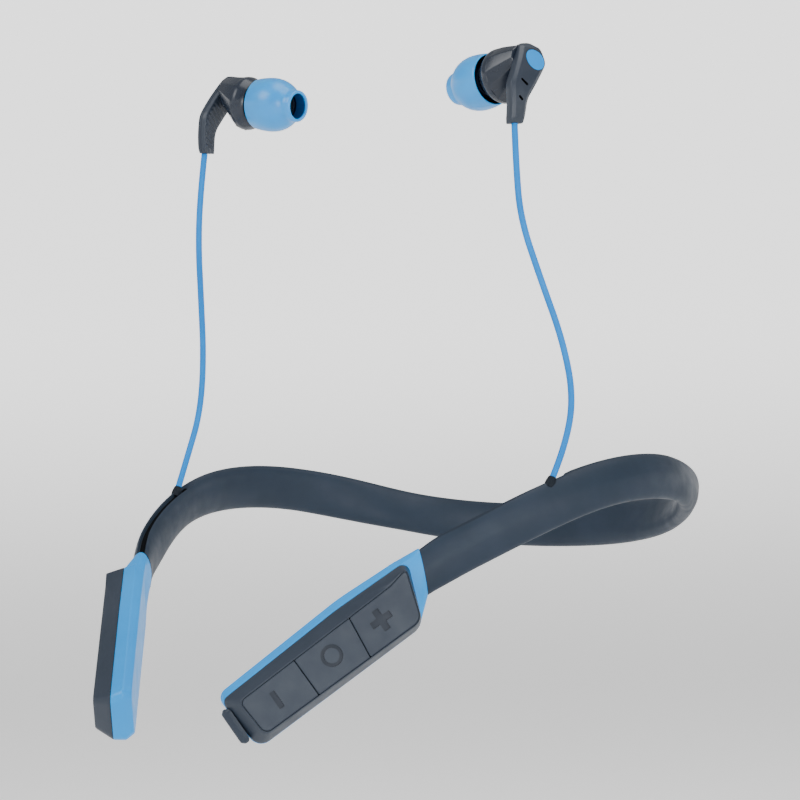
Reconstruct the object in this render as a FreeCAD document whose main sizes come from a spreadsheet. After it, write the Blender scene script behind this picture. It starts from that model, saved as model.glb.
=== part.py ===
"""Neckband earphones: a flexible collar, a control pod, a battery pod, and two corded ear buds.

Millimetres. +X is the wearer's left (the control side), +Y is towards the nape, +Z is up.
The origin is the middle of the neck space, level with the collar at the nape.
A pod's own frame: x along the pod from its joint with the collar, z outwards through its buttons,
and "rise" towards its upper edge, which is -y on the control side and +y on the battery side.
A bud's own frame: x outwards from the head along the nozzle's axis, y towards the nape, z up.
"""
import FreeCAD, Part
import math
import os

import Sketcher

from FreeCAD import Matrix, Placement, Rotation, Vector

doc = FreeCAD.newDocument("neckband_earphones")

# ---------------------------------------------------------------- driving dimensions

SIZES = {
    "band_width": 10.6,
    "band_thickness": 4.8,
    "channel_width": 6.4,
    "channel_thickness": 2.1,
    "core_width": 3.8,
    "core_thickness": 1.0,
    "core_offset": -0.9,
    "harness_diameter": 1.4,
    "harness_offset": 1.9,
    "parting_height": 3.6,
    "face_height": 7.8,
    "ridge_height": 0.7,
    "inner_height": -1.2,
    "face_wall": 1.2,
    "floor_height": 0.2,
    "board_height": 0.7,
    "board_thickness": 0.8,
    "cap_depth": 1.4,
    "flange_depth": 0.7,
    "mark_depth": 0.25,
    "plunger_radius": 1.5,
    "plunger_length": 0.5,
    "switch_body": 4.0,
    "switch_body_rise": 2.8,
    "switch_radius": 1.0,
    "switch_rise": 0.4,
    "port_width": 7.8,
    "port_depth": 2.7,
    "port_length": 5.2,
    "flap_length": 8.8,
    "flap_width": 4.0,
    "flap_thickness": 1.4,
    "plug_length": 7.4,
    "plug_width": 1.9,
    "plug_depth": 0.9,
    "cell_length": 37.0,
    "cell_width": 8.8,
    "cell_thickness": 4.6,
    "screw_radius": 0.55,
    "screw_length": 1.9,
    "screw_head_radius": 1.0,
    "screw_head_depth": 0.6,
    "running_gap": 0.05,
    "cord_diameter": 1.5,
    "gland_radius": 1.2,
    "gland_length": 2.6,
    "nozzle_radius": 2.9,
    "nozzle_bore": 2.1,
    "tip_bore": 2.97,
    "tip_mouth_radius": 3.8,
    "tip_radius": 6.45,
    "housing_radius": 6.4,
    "driver_radius": 4.3,
    "driver_depth": 1.6,
    "diaphragm_thickness": 0.3,
    "mesh_thickness": 0.3,
    "paddle_skin": 1.3,
    "paddle_back": 2.5,
    "inlay_radius": 2.5,
    "inlay_depth": 0.5,
}

sheet = doc.addObject("Spreadsheet::Sheet", "Sizes")
for row, (alias, value) in enumerate(SIZES.items(), start=1):
    sheet.set(f"A{row}", alias.replace("_", " "))
    sheet.set(f"B{row}", str(value))
    sheet.setAlias(f"B{row}", alias)
doc.recompute()


def size(alias):
    """The value of one driving dimension."""
    return float(sheet.get(alias))


def bind(thing, prop, formula):
    """Ties a property to the sheet; the formula names aliases with a leading $."""
    thing.setExpression(prop, formula.replace("$", "Sizes."))


# ---------------------------------------------------------------- the collar's centreline

COLLAR_STATIONS = [
    # x, y, z of the right-hand half from the nape, and how far the upper edge leans inwards, degrees
    (0.0, 66.0, 0.0, -12.0),
    (41.5, 56.5, 3.6, -30.0),
    (61.0, 30.0, 10.7, 14.0),
    (62.4, 0.0, 9.2, 17.0),
    (51.5, -27.6, -2.1, -2.0),
]
POD_ORIGIN = Vector(45.0, -37.4, -8.0)
POD_ALONG = Vector(-0.542, -0.637, -0.548)
POD_RISE = Vector(-0.370, -0.410, 0.834)
JOINT_SLANT = 23.4
JOINT_SETBACK = 0.9
COLLAR_SECTIONS = 12


def mirrored(vector):
    return Vector(-vector.x, vector.y, vector.z)


def unit(vector):
    return Vector(vector).normalize()


def frame_placement(origin, x_axis, y_axis):
    """The placement whose own x and y axes are the two given."""
    x_dir = unit(x_axis)
    y_dir = unit(y_axis - x_dir * y_axis.dot(x_dir))
    z_dir = x_dir.cross(y_dir)
    return Placement(Matrix(
        x_dir.x, y_dir.x, z_dir.x, origin.x,
        x_dir.y, y_dir.y, z_dir.y, origin.y,
        x_dir.z, y_dir.z, z_dir.z, origin.z,
        0, 0, 0, 1))


def pod_placement(side):
    """The frame of the control pod (side 1) or the battery pod (side -1)."""
    if side > 0:
        return frame_placement(POD_ORIGIN, POD_ALONG, POD_RISE * -1)
    return frame_placement(mirrored(POD_ORIGIN), mirrored(POD_ALONG), mirrored(POD_RISE))


def joint_axes():
    """Centre, width direction and thickness direction of the slanted joint face, control side."""
    along = unit(POD_ALONG)
    rise = unit(POD_RISE - along * POD_RISE.dot(along))
    slant = math.radians(JOINT_SLANT)
    width = rise * math.cos(slant) - along * math.sin(slant)
    out = rise.cross(along)
    centre = POD_ORIGIN + along * JOINT_SETBACK
    return centre, width, out


def half_centreline():
    """The collar's centreline from the nape to the control pod's joint."""
    points = [Vector(x, y, z) for x, y, z, lean in COLLAR_STATIONS] + [joint_axes()[0]]
    curve = Part.BSplineCurve()
    curve.interpolate(Points=points, InitialTangent=Vector(1, 0, 0), FinalTangent=unit(POD_ALONG))
    return curve


def lean_at(distance, marks):
    """Eases the lean between stations; marks are (distance from the nape, degrees)."""
    for (near, lean_a), (far, lean_b) in zip(marks, marks[1:]):
        if distance <= far:
            share = (distance - near) / (far - near)
            share = share * share * (3 - 2 * share)
            return lean_a + (lean_b - lean_a) * share
    return marks[-1][1]


def collar_sections(beyond=0.0):
    """Placements of the collar's sections: own x across the width, own y through the thickness.

    The last one at each end lies on the slanted joint, or a little beyond it.
    """
    curve = half_centreline()
    total = curve.length()
    marks = []
    for x, y, z, lean in COLLAR_STATIONS:
        parameter = curve.parameter(Vector(x, y, z))
        reach = curve.length(curve.FirstParameter, parameter) if marks else 0.0
        marks.append((reach, lean))
    marks.append((total, 4.0))
    half = []
    for index in range(COLLAR_SECTIONS + 1):
        distance = total * index / COLLAR_SECTIONS
        parameter = curve.parameterAtDistance(distance, curve.FirstParameter)
        tangent = unit(curve.tangent(parameter)[0])
        level = unit(Vector(0, 0, 1) - tangent * tangent.z)
        lean = math.radians(lean_at(distance, marks))
        width = level * math.cos(lean) + tangent.cross(level) * math.sin(lean)
        half.append((curve.value(parameter), width, tangent.cross(width)))
    centre, width, out = joint_axes()
    half[-1] = (centre + unit(POD_ALONG) * beyond, width, unit(POD_ALONG).cross(width))
    others = [frame_placement(mirrored(p), mirrored(w), mirrored(t)) for p, w, t in reversed(half[1:])]
    return others + [frame_placement(*section) for section in half]


def ellipse_loft(label, places, half_width, half_thickness, offset="0"):
    """A loft through equal ellipses, each slid across the collar's width by the offset."""
    ellipses = []
    for index, place in enumerate(places):
        ellipse = doc.addObject("Part::Ellipse", f"{label}_section_{index}")
        bind(ellipse, "MajorRadius", half_width)
        bind(ellipse, "MinorRadius", half_thickness)
        shift = place.Rotation.multVec(Vector(size(offset), 0, 0)) if offset != "0" else Vector()
        ellipse.Placement = Placement(place.Base + shift, place.Rotation)
        ellipses.append(ellipse)
    loft = doc.addObject("Part::Loft", label)
    loft.Sections = ellipses
    loft.Solid = True
    loft.Ruled = False
    return loft


# ---------------------------------------------------------------- shared modelling helpers

nodes = []


def node(thing, label):
    """Names a finished sub-part, which is written to its own file."""
    thing.Label = label
    nodes.append(thing)
    return thing


def new_body(label, place):
    body = doc.addObject("PartDesign::Body", label)
    body.Placement = place
    return body


def origin_plane(body, role):
    return next(item for item in body.Origin.OriginFeatures if item.Role == role)


def new_sketch(body, role, name, height="0"):
    """A sketch on one of the body's own planes, raised by a formula."""
    sketch = body.newObject("Sketcher::SketchObject", name)
    sketch.AttachmentSupport = [(origin_plane(body, role), "")]
    sketch.MapMode = "FlatFace"
    if height != "0":
        bind(sketch, ".AttachmentOffset.Base.z", height)
    return sketch


def corner_arc(before, corner, after, radius):
    """Where a corner's round starts, its middle and its end."""
    back = unit(before - corner)
    ahead = unit(after - corner)
    half = back.getAngle(ahead) / 2
    reach = radius / math.tan(half)
    centre = corner + unit(back + ahead) * (radius / math.sin(half))
    middle = centre + unit(corner - centre) * radius
    return corner + back * reach, middle, corner + ahead * reach


def draw_outline(sketch, corners):
    """A closed outline of straight lines with rounded corners; each corner is (x, y, radius)."""
    points = [Vector(x, y, 0) for x, y, radius in corners]
    count = len(points)
    rounds = []
    for index, (x, y, radius) in enumerate(corners):
        if radius:
            rounds.append(corner_arc(points[index - 1], points[index], points[(index + 1) % count], radius))
        else:
            rounds.append((points[index], None, points[index]))
    for index, (start, middle, end) in enumerate(rounds):
        if middle is not None:
            sketch.addGeometry(Part.Arc(start, middle, end), False)
        following = rounds[(index + 1) % count][0]
        sketch.addGeometry(Part.LineSegment(end, following), False)


def inset(corners, distance):
    """The outline moved inwards by a distance, its corner rounds shrunk to suit."""
    points = [Vector(x, y, 0) for x, y, radius in corners]
    count = len(points)
    area = sum(points[i - 1].x * points[i].y - points[i].x * points[i - 1].y for i in range(count))
    turn = 1 if area > 0 else -1
    moved = []
    for index, (x, y, radius) in enumerate(corners):
        arriving = unit(points[index] - points[index - 1])
        leaving = unit(points[(index + 1) % count] - points[index])
        normal_a = Vector(-arriving.y, arriving.x, 0) * turn
        normal_b = Vector(-leaving.y, leaving.x, 0) * turn
        bisector = unit(normal_a + normal_b)
        corner = points[index] + bisector * (distance / bisector.dot(normal_a))
        moved.append((corner.x, corner.y, max(radius - distance, 0.4)))
    return moved


def on_side(corners, side):
    """Turns (x, rise, radius) corners into the pod's own x and y."""
    return [(x, -side * rise, radius) for x, rise, radius in corners]


def pad(body, sketch, length, name, downwards=False):
    feature = body.newObject("PartDesign::Pad", name)
    feature.Profile = sketch
    bind(feature, "Length", length)
    feature.Reversed = downwards
    return feature


def pocket(body, sketch, length, name, upwards=False):
    """Cuts away from the sketch, and checks that something was really cut."""
    doc.recompute()
    before = body.Tip.Shape.Volume
    feature = body.newObject("PartDesign::Pocket", name)
    feature.Profile = sketch
    bind(feature, "Length", length)
    feature.Reversed = upwards
    doc.recompute()
    if feature.Shape.Volume > before - 1e-3:
        raise RuntimeError(f"{body.Name}: pocket {name} cuts nothing")
    return feature


def loft(body, kind, sketches, name):
    feature = body.newObject(f"PartDesign::{kind}Loft", name)
    feature.Profile = sketches[0]
    feature.Sections = sketches[1:]
    feature.Ruled = True
    return feature


def revolve(body, sketch, name):
    feature = body.newObject("PartDesign::Revolution", name)
    feature.Profile = sketch
    feature.ReferenceAxis = (sketch, ["H_Axis"])
    feature.Angle = 360
    return feature


def placed_box(name, place, lengths, corner):
    """A box in a local frame; lengths are three formulas and corner its lowest corner."""
    box = doc.addObject("Part::Box", name)
    for prop, formula in zip(("Length", "Width", "Height"), lengths):
        bind(box, prop, formula)
    box.Placement = place * Placement(Vector(*corner), Rotation())
    return box


def placed_cylinder(name, place, radius, height, base, axis=Vector(0, 0, 1)):
    """A cylinder in a local frame, from its base point along an axis."""
    cylinder = doc.addObject("Part::Cylinder", name)
    bind(cylinder, "Radius", radius)
    bind(cylinder, "Height", height)
    cylinder.Placement = place * Placement(Vector(*base), Rotation(Vector(0, 0, 1), axis))
    return cylinder


def cut(name, base, tool):
    result = doc.addObject("Part::Cut", name)
    result.Base = base
    result.Tool = tool
    return result


def common(name, base, tool):
    result = doc.addObject("Part::Common", name)
    result.Base = base
    result.Tool = tool
    return result


def fuse(name, shapes):
    result = doc.addObject("Part::MultiFuse", name)
    result.Shapes = shapes
    return result


def group(name, shapes):
    result = doc.addObject("Part::Compound", name)
    result.Links = shapes
    return result


# ---------------------------------------------------------------- the collar

def build_collar():
    """The soft sheath, its sprung core and the wires that share its channel."""
    places = collar_sections()
    sheath = ellipse_loft("sheath_outside", places, "$band_width / 2", "$band_thickness / 2")
    channel = ellipse_loft(
        "sheath_channel", collar_sections(1.0), "$channel_width / 2", "$channel_thickness / 2")
    band = cut("collar_band_body", sheath, channel)
    for side, place in ((1, gland_placement(1)), (-1, gland_placement(-1))):
        seat = placed_cylinder(
            f"gland_seat_{side + 1}", place, "$gland_radius + 2 * $running_gap", "8", (0, 0, -2.65))
        band = cut(f"collar_band_cut_{side + 1}", band, seat)
    node(band, "collar_band")
    core = ellipse_loft("core", places, "$core_width / 2", "$core_thickness / 2", "core_offset")
    node(core, "spring_core")
    wires = ellipse_loft(
        "wires", places, "$harness_diameter / 2", "$harness_diameter / 2 - 0.001", "harness_offset")
    node(wires, "band_harness")


# ---------------------------------------------------------------- pod outlines

PARTING = [(2.6, 4.5, 1.8), (22.0, 4.5, 60.0), (54.2, 2.6, 1.8), (53.2, -10.9, 3.0), (8.0, -9.6, 4.0)]
FACE = [(4.2, 3.5, 0.8), (9.5, 2.3, 9.0), (51.3, 0.5, 1.5), (50.6, -9.0, 2.0), (7.9, -8.2, 3.0)]
RIDGE = [(2.6, 5.5, 1.8), (20.0, 6.1, 60.0), (54.2, 3.9, 2.4), (53.2, -11.0, 3.0), (7.2, -9.4, 4.0)]
INNER = [(4.4, 4.2, 1.5), (20.0, 4.8, 60.0), (53.0, 3.0, 2.0), (52.2, -9.6, 2.5), (8.6, -8.2, 3.5)]
POD_WALL = 1.3
ROOF_INSET = 0.5
WINDOW_INSET = 0.8
BUTTON_CLEARANCE = 0.15
BUTTON_SPLITS = (21.4, 36.0)
SPLIT_GAP = 0.3
SWITCH_CENTRES = {"volume_up": (15.3, -2.8), "multifunction": (28.7, -3.1), "volume_down": (43.3, -3.8)}
SCREW_CENTRES = [(21.4, 0.6), (36.6, -6.4)]
PORT_RISE = -3.9
PORT_HEIGHT = 2.3
PORT_BACK = 47.4
END_WALL = 51.6
FLAP_START = 54.25


def build_shell(name, side):
    """The pod's outer shell: bevelled all round and hollow."""
    body = new_body(name, pod_placement(side))
    rim = new_sketch(body, "XY_Plane", f"{name}_rim", "$parting_height")
    draw_outline(rim, on_side(PARTING, side))
    face = new_sketch(body, "XY_Plane", f"{name}_face", "$face_height")
    draw_outline(face, on_side(FACE, side))
    loft(body, "Additive", [rim, face], f"{name}_outside")
    hollow_rim = new_sketch(body, "XY_Plane", f"{name}_hollow_rim", "$parting_height")
    draw_outline(hollow_rim, on_side(inset(PARTING, POD_WALL), side))
    roof = new_sketch(body, "XY_Plane", f"{name}_roof", "$face_height - $face_wall")
    draw_outline(roof, on_side(inset(FACE, ROOF_INSET), side))
    loft(body, "Subtractive", [hollow_rim, roof], f"{name}_hollow")
    return body


def build_frame(name, side):
    """The pod's inner frame: a tray that flares to a ridge, with a collar that takes the band."""
    place = pod_placement(side)
    body = new_body(f"{name}_tray", place)
    heights = ("$parting_height", "$ridge_height", "$inner_height")
    sketches = []
    for index, (height, corners) in enumerate(zip(heights, (PARTING, RIDGE, INNER))):
        sketch = new_sketch(body, "XY_Plane", f"{name}_level_{index}", height)
        draw_outline(sketch, on_side(corners, side))
        sketches.append(sketch)
    loft(body, "Additive", sketches, f"{name}_outside")
    neck = build_neck(name, side)
    whole = fuse(f"{name}_whole", [body, neck])
    hollow = new_body(f"{name}_hollow", place)
    floor = new_sketch(hollow, "XY_Plane", f"{name}_floor", "$floor_height")
    draw_outline(floor, on_side(inset(PARTING, POD_WALL), side))
    pad(hollow, floor, "$parting_height - $floor_height + 1", f"{name}_space")
    opened = cut(f"{name}_opened", whole, hollow)
    passage = placed_cylinder(f"{name}_passage", place, "1.2", "14", (-3, 0, 0.9), Vector(1, 0, 0))
    return cut(f"{name}_drilled", opened, passage)


def build_neck(name, side):
    """The part of the frame that narrows to the band's section at the slanted joint."""
    centre, width, out = joint_axes()
    along = unit(POD_ALONG)
    ends = [
        (centre + along * 0.1, width, "$band_width / 2", "$band_thickness / 2"),
        (POD_ORIGIN + along * 9.5 + width * -1.6 + out * 1.15, unit(POD_RISE), "7.0", "2.3"),
    ]
    ellipses = []
    for index, (point, across, half_width, half_thickness) in enumerate(ends):
        through = out
        if side < 0:
            point, across, through = mirrored(point), mirrored(across), mirrored(out)
        ellipse = doc.addObject("Part::Ellipse", f"{name}_neck_{index}")
        bind(ellipse, "MajorRadius", half_width)
        bind(ellipse, "MinorRadius", half_thickness)
        ellipse.Placement = frame_placement(point, across, through)
        ellipses.append(ellipse)
    neck = doc.addObject("Part::Loft", f"{name}_neck")
    neck.Sections = ellipses
    neck.Solid = True
    return neck


def screw_posts(name, side):
    """Low posts that the board stands on, each with a hole for its screw."""
    place = pod_placement(side)
    posts = []
    holes = []
    for index, (x, rise) in enumerate(SCREW_CENTRES):
        y = -side * rise
        posts.append(placed_cylinder(
            f"{name}_post_{index}", place, "1.4", "$board_height - $floor_height + 0.1", (x, y, 0.1)))
        holes.append(placed_cylinder(
            f"{name}_hole_{index}", place, "$screw_radius + $running_gap", "1.8", (x, y, -0.45)))
    return posts, fuse(f"{name}_holes", holes)


def build_board(name, side):
    """The circuit board, cut to the pod's inside and drilled for its screws."""
    body = new_body(f"{name}_blank", pod_placement(side))
    outline = new_sketch(body, "XY_Plane", f"{name}_outline", "$board_height")
    draw_outline(outline, on_side(inset(PARTING, POD_WALL + 0.4), side))
    pad(body, outline, "$board_thickness", f"{name}_sheet")
    place = pod_placement(side)
    holes = [
        placed_cylinder(f"{name}_clear_{i}", place, "$screw_radius + 0.1", "2", (x, -side * rise, 0))
        for i, (x, rise) in enumerate(SCREW_CENTRES)
    ]
    return cut(name, body, fuse(f"{name}_clears", holes))


def build_screws(name, side):
    """Two small pan-head screws that hold the board down."""
    place = pod_placement(side)
    screws = []
    top = size("board_height") + size("board_thickness")
    for index, (x, rise) in enumerate(SCREW_CENTRES):
        y = -side * rise
        shank = placed_cylinder(
            f"{name}_shank_{index}", place, "$screw_radius", "$screw_length",
            (x, y, top - size("screw_length")))
        head = placed_cylinder(
            f"{name}_head_{index}", place, "$screw_head_radius", "$screw_head_depth", (x, y, top))
        screws.append(fuse(f"{name}_{index}", [shank, head]))
    return group(name, screws)


# ---------------------------------------------------------------- the control pod

def port_opening(name, place):
    """The slot through the pod's end that the charging plug goes in by."""
    centre_y = -PORT_RISE
    return placed_box(
        name, place, ("6", "$port_width + 0.6", "3.3"),
        (END_WALL, centre_y - (size("port_width") + 0.6) / 2, PORT_HEIGHT - 1.0))


def build_control_shell():
    """The shell, with its window for the buttons and its share of the port."""
    side = 1
    place = pod_placement(side)
    body = build_shell("control_shell_body", side)
    window = new_sketch(body, "XY_Plane", "control_window", "$face_height + 1")
    draw_outline(window, on_side(inset(FACE, WINDOW_INSET), side))
    pocket(body, window, "$face_wall + 1.5", "control_window_cut")
    node(cut("control_shell_cut", body, port_opening("shell_port", place)), "control_shell")


def build_control_frame():
    """The tray, its posts, the port slot and the microphone's hole in the upper wall."""
    side = 1
    place = pod_placement(side)
    tray = build_frame("control_frame", side)
    posts, holes = screw_posts("control_frame", side)
    posted = fuse("control_frame_posted", [tray] + posts)
    mic_hole = placed_cylinder("mic_hole", place, "0.4", "8", (40.3, -1.5, 2.3), Vector(0, -1, 0))
    tools = fuse("control_frame_tools", [holes, port_opening("frame_port", place), mic_hole])
    node(cut("control_frame_cut", posted, tools), "control_frame")


def button_outline(first, last):
    """The cap between two lines across the window: straight sides that follow the window's."""
    window = inset(FACE, WINDOW_INSET + BUTTON_CLEARANCE)
    near, middle, tip, low_tip, low_near = window

    def top(x):
        return middle[1] + (tip[1] - middle[1]) * (x - middle[0]) / (tip[0] - middle[0])

    def bottom(x):
        share = (x - low_near[0]) / (low_tip[0] - low_near[0])
        return low_near[1] + (low_tip[1] - low_near[1]) * share

    left = near[:2] if first is None else (first, top(first))
    right = tip[:2] if last is None else (last, top(last))
    low_right = low_tip[:2] if last is None else (last, bottom(last))
    low_left = low_near[:2] if first is None else (first, bottom(first))
    low_right_round = 1.2 if last is None else 0.5
    low_left_round = 2.0 if first is None else 0.5
    bend = [(middle[0], middle[1], 8.0)] if first is None else []
    return [(*left, 0.5), *bend, (*right, 0.5), (*low_right, low_right_round), (*low_left, low_left_round)]


def draw_mark(sketch, mark, centre):
    """The generic sign on a button: a plus, a ring or a bar."""
    x, rise = centre
    y = -rise
    if mark == "ring":
        for radius in (2.6, 1.9):
            sketch.addGeometry(Part.Circle(Vector(x, y, 0), Vector(0, 0, 1), radius), False)
        return
    arm, half = 2.6, 0.7
    if mark == "bar":
        corners = [(x - half, y - arm), (x + half, y - arm), (x + half, y + arm), (x - half, y + arm)]
    else:
        corners = [
            (x - half, y - arm), (x + half, y - arm), (x + half, y - half), (x + arm, y - half),
            (x + arm, y + half), (x + half, y + half), (x + half, y + arm), (x - half, y + arm),
            (x - half, y + half), (x - arm, y + half), (x - arm, y - half), (x - half, y - half)]
    draw_outline(sketch, [(cx, cy, 0) for cx, cy in corners])


def build_button(label, first, last, mark):
    """A button: its cap, the flange that keeps it in, its plunger and its sign."""
    body = new_body(f"{label}_body", pod_placement(1))
    outline = button_outline(first, last)
    cap = new_sketch(body, "XY_Plane", f"{label}_cap", "$face_height")
    draw_outline(cap, on_side(outline, 1))
    pad(body, cap, "$cap_depth", f"{label}_cap_pad", downwards=True)
    flange = new_sketch(body, "XY_Plane", f"{label}_flange", "$face_height - $cap_depth")
    rim = 0.3
    *upper, low_right, low_left = outline
    widened = [(x, rise + rim, radius) for x, rise, radius in upper]
    widened += [(x, rise - rim, radius + rim) for x, rise, radius in (low_right, low_left)]
    draw_outline(flange, on_side(widened, 1))
    pad(body, flange, "$flange_depth", f"{label}_flange_pad", downwards=True)
    plunger = new_sketch(body, "XY_Plane", f"{label}_plunger", "$face_height - $cap_depth - $flange_depth")
    x, rise = SWITCH_CENTRES[label]
    plunger.addGeometry(Part.Circle(Vector(x, -rise, 0), Vector(0, 0, 1), size("plunger_radius")), False)
    pad(body, plunger, "$plunger_length", f"{label}_plunger_pad", downwards=True)
    sign = new_sketch(body, "XY_Plane", f"{label}_sign", "$face_height")
    draw_mark(sign, mark, SWITCH_CENTRES[label])
    pocket(body, sign, "$mark_depth", f"{label}_sign_cut")
    node(body, f"{label}_button")


def build_switches():
    """Three tact switches, one under each button."""
    place = pod_placement(1)
    base = size("board_height") + size("board_thickness")
    switches = []
    for name, (x, rise) in SWITCH_CENTRES.items():
        half = size("switch_body") / 2
        case = placed_box(
            f"switch_case_{name}", place, ("$switch_body", "$switch_body", "$switch_body_rise"),
            (x - half, -rise - half, base))
        key = placed_cylinder(
            f"switch_key_{name}", place, "$switch_radius", "$switch_rise",
            (x, -rise, base + size("switch_body_rise")))
        switches.append(fuse(f"switch_{name}", [case, key]))
    node(group("switches", switches), "tact_switches")


def build_control_electronics():
    """The board and what is soldered to it."""
    place = pod_placement(1)
    base = size("board_height") + size("board_thickness")
    node(build_board("control_board_cut", 1), "control_board")
    node(build_screws("control_screw", 1), "control_board_screws")
    build_switches()
    node(placed_box("radio", place, ("4.6", "4.6", "0.9"), (32.4, -1.0, base)), "radio_chip")
    node(placed_box("antenna_box", place, ("8", "1.4", "1.2"), (9.2, -2.6, base)), "antenna")
    node(placed_box("mic_box", place, ("3.2", "1.6", "1.3"), (38.7, -1.8, base)), "microphone")
    lamp = placed_box("lamp_box", place, ("1.6", "0.9", "0.7"), (25.2, -2.4, base))
    node(lamp, "status_led")
    parts = [
        placed_box(f"capacitor_{i}", place, ("1.2", "1.8", "1.0"), (x, 6.0, base))
        for i, x in enumerate((19.6, 22.4, 25.2))
    ]
    node(group("capacitor_group", parts), "board_capacitors")
    build_socket(place)


def build_socket(place):
    """The charging socket: a folded metal shell with a tongue inside."""
    half = size("port_width") / 2 - 0.2
    low = PORT_HEIGHT - size("port_depth") / 2 + 0.55
    case = placed_box(
        "socket_case", place, ("$port_length", "$port_width - 0.4", "$port_depth"),
        (PORT_BACK, -PORT_RISE - half, low))
    inside = placed_box(
        "socket_inside", place, ("$port_length", "$port_width - 1", "$port_depth - 0.6"),
        (PORT_BACK + 0.6, -PORT_RISE - half + 0.3, low + 0.3))
    tongue = placed_box(
        "socket_tongue", place, ("$port_length - 1.4", "$port_width - 3", "0.6"),
        (PORT_BACK + 0.5, -PORT_RISE - half + 1.3, low + 1.05))
    node(fuse("socket", [cut("socket_shell", case, inside), tongue]), "charging_socket")


def build_port_cover(place):
    """The rubber flap over the socket, with its shallow plug and its tether roll."""
    half = size("flap_length") / 2
    flap = placed_box(
        "flap_plate", place, ("$flap_thickness", "$flap_length", "$flap_width"),
        (FLAP_START, -PORT_RISE - half, 0.8))
    flap_round = doc.addObject("Part::Fillet", "flap_round")
    doc.recompute()
    flap_round.Base = flap
    flap_round.Edges = [(index + 1, 0.6, 0.6) for index in flap_outer_edges(flap, place)]
    half_plug = size("plug_length") / 2
    plug = placed_box(
        "flap_plug", place, ("$plug_depth + 0.1", "$plug_length", "$plug_width"),
        (FLAP_START - size("plug_depth"), -PORT_RISE - half_plug, PORT_HEIGHT - 0.55))
    node(fuse("port_cover_body", [flap_round, plug]), "port_cover")


def flap_outer_edges(flap, place):
    """The edges of the flap's outward face, by number."""
    inverse = place.inverse()
    outer = FLAP_START + size("flap_thickness")
    found = []
    for index, edge in enumerate(flap.Shape.Edges):
        ends = [inverse.multVec(vertex.Point) for vertex in edge.Vertexes]
        if all(abs(end.x - outer) < 1e-6 for end in ends):
            found.append(index)
    return found


def build_control_pod():
    build_control_shell()
    build_control_frame()
    build_control_electronics()
    first_split, second_split = BUTTON_SPLITS
    half_gap = SPLIT_GAP / 2
    build_button("volume_up", None, first_split - half_gap, "plus")
    build_button("multifunction", first_split + half_gap, second_split - half_gap, "ring")
    build_button("volume_down", second_split + half_gap, None, "bar")
    build_port_cover(pod_placement(1))


# ---------------------------------------------------------------- the battery pod

def build_battery_pod():
    """Shell, tray, pouch cell, its protection board and the pad that beds it."""
    side = -1
    place = pod_placement(side)
    node(build_shell("battery_shell_body", side), "battery_shell")
    node(build_frame("battery_frame", side), "battery_frame")
    pad_top = 0.7
    node(placed_box("cell_pad", place, ("34", "7.6", "0.5"), (10.8, -7.0, 0.2)), "battery_pad")
    cell = placed_box(
        "cell", place, ("$cell_length", "$cell_width", "$cell_thickness"), (9.8, -7.6, pad_top))
    rounded = doc.addObject("Part::Fillet", "cell_rounded")
    doc.recompute()
    rounded.Base = cell
    rounded.Edges = [
        (index + 1, 1.2, 1.2) for index, edge in enumerate(cell.Shape.Edges)
        if abs(edge.Length - size("cell_length")) < 1e-6
    ]
    node(rounded, "battery_cell")
    node(placed_box("guard", place, ("0.8", "7.4", "3.6"), (48.2, -7.0, 0.8)), "protection_board")
    tabs = [
        placed_box(f"tab_{i}", place, ("1.3", "1.6", "0.3"), (46.85, y, 2.6)) for i, y in enumerate((-6.0, -1.8))
    ]
    node(group("cell_tabs", tabs), "cell_tabs")


# ---------------------------------------------------------------- buds

BUD_ORIGIN = Vector(45.9, -2.4, 104.1)
PADDLE_ORIGIN = Vector(45.5, -4.7, 104.1)
BUD_TILT = 6.6
BUD_YAW = -5.0
PADDLE_YAW = -9.0
PADDLE = [
    (1.6, 6.1, 1.0), (4.4, 6.4, 4.0), (7.2, 5.3, 2.0), (7.4, 1.2, 3.0), (0.1, -7.4, 6.0),
    (-1.0, -12.8, 0.6), (-4.9, -12.8, 0.6), (-4.4, -3.6, 5.0)]
NECK_CENTRE = (1.5, -0.2, 2.6)
PADDLE_ARC = [(2.0, 6.9), (4.8, -3.0), (3.9, -12.9)]
STEM_END = Vector(2.65, -2.95, -12.8)


def bud_placement():
    """The bud's frame: the nozzle points inwards and a little down."""
    turn = Rotation(Vector(0, 0, 1), BUD_YAW) * Rotation(Vector(0, 1, 0), -BUD_TILT)
    return Placement(BUD_ORIGIN, turn)


def paddle_placement():
    """The back cover's frame, turned a little to the front."""
    turn = Rotation(Vector(0, 0, 1), PADDLE_YAW) * Rotation(Vector(0, 1, 0), -BUD_TILT)
    return Placement(PADDLE_ORIGIN, turn)


def shifted_arc(shift):
    """The back cover's side profile, moved inwards: the arc through three points in x and z."""
    top, middle, bottom = (Vector(x - shift, z, 0) for x, z in PADDLE_ARC)
    return Part.Arc(top, middle, bottom), top, bottom


def side_slab(name, outer_shift, inner_shift):
    """A slab between two shifts of the side profile, wide enough to hold the whole cover."""
    body = new_body(f"{name}_slab", paddle_placement())
    sketch = new_sketch(body, "XZ_Plane", f"{name}_side")
    outer, outer_top, outer_bottom = shifted_arc(outer_shift)
    inner, inner_top, inner_bottom = shifted_arc(inner_shift)
    sketch.addGeometry(outer, False)
    sketch.addGeometry(Part.LineSegment(outer_bottom, inner_bottom), False)
    sketch.addGeometry(inner, False)
    sketch.addGeometry(Part.LineSegment(inner_top, outer_top), False)
    feature = pad(body, sketch, "30", f"{name}_side_pad")
    feature.Midplane = True
    return body


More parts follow.
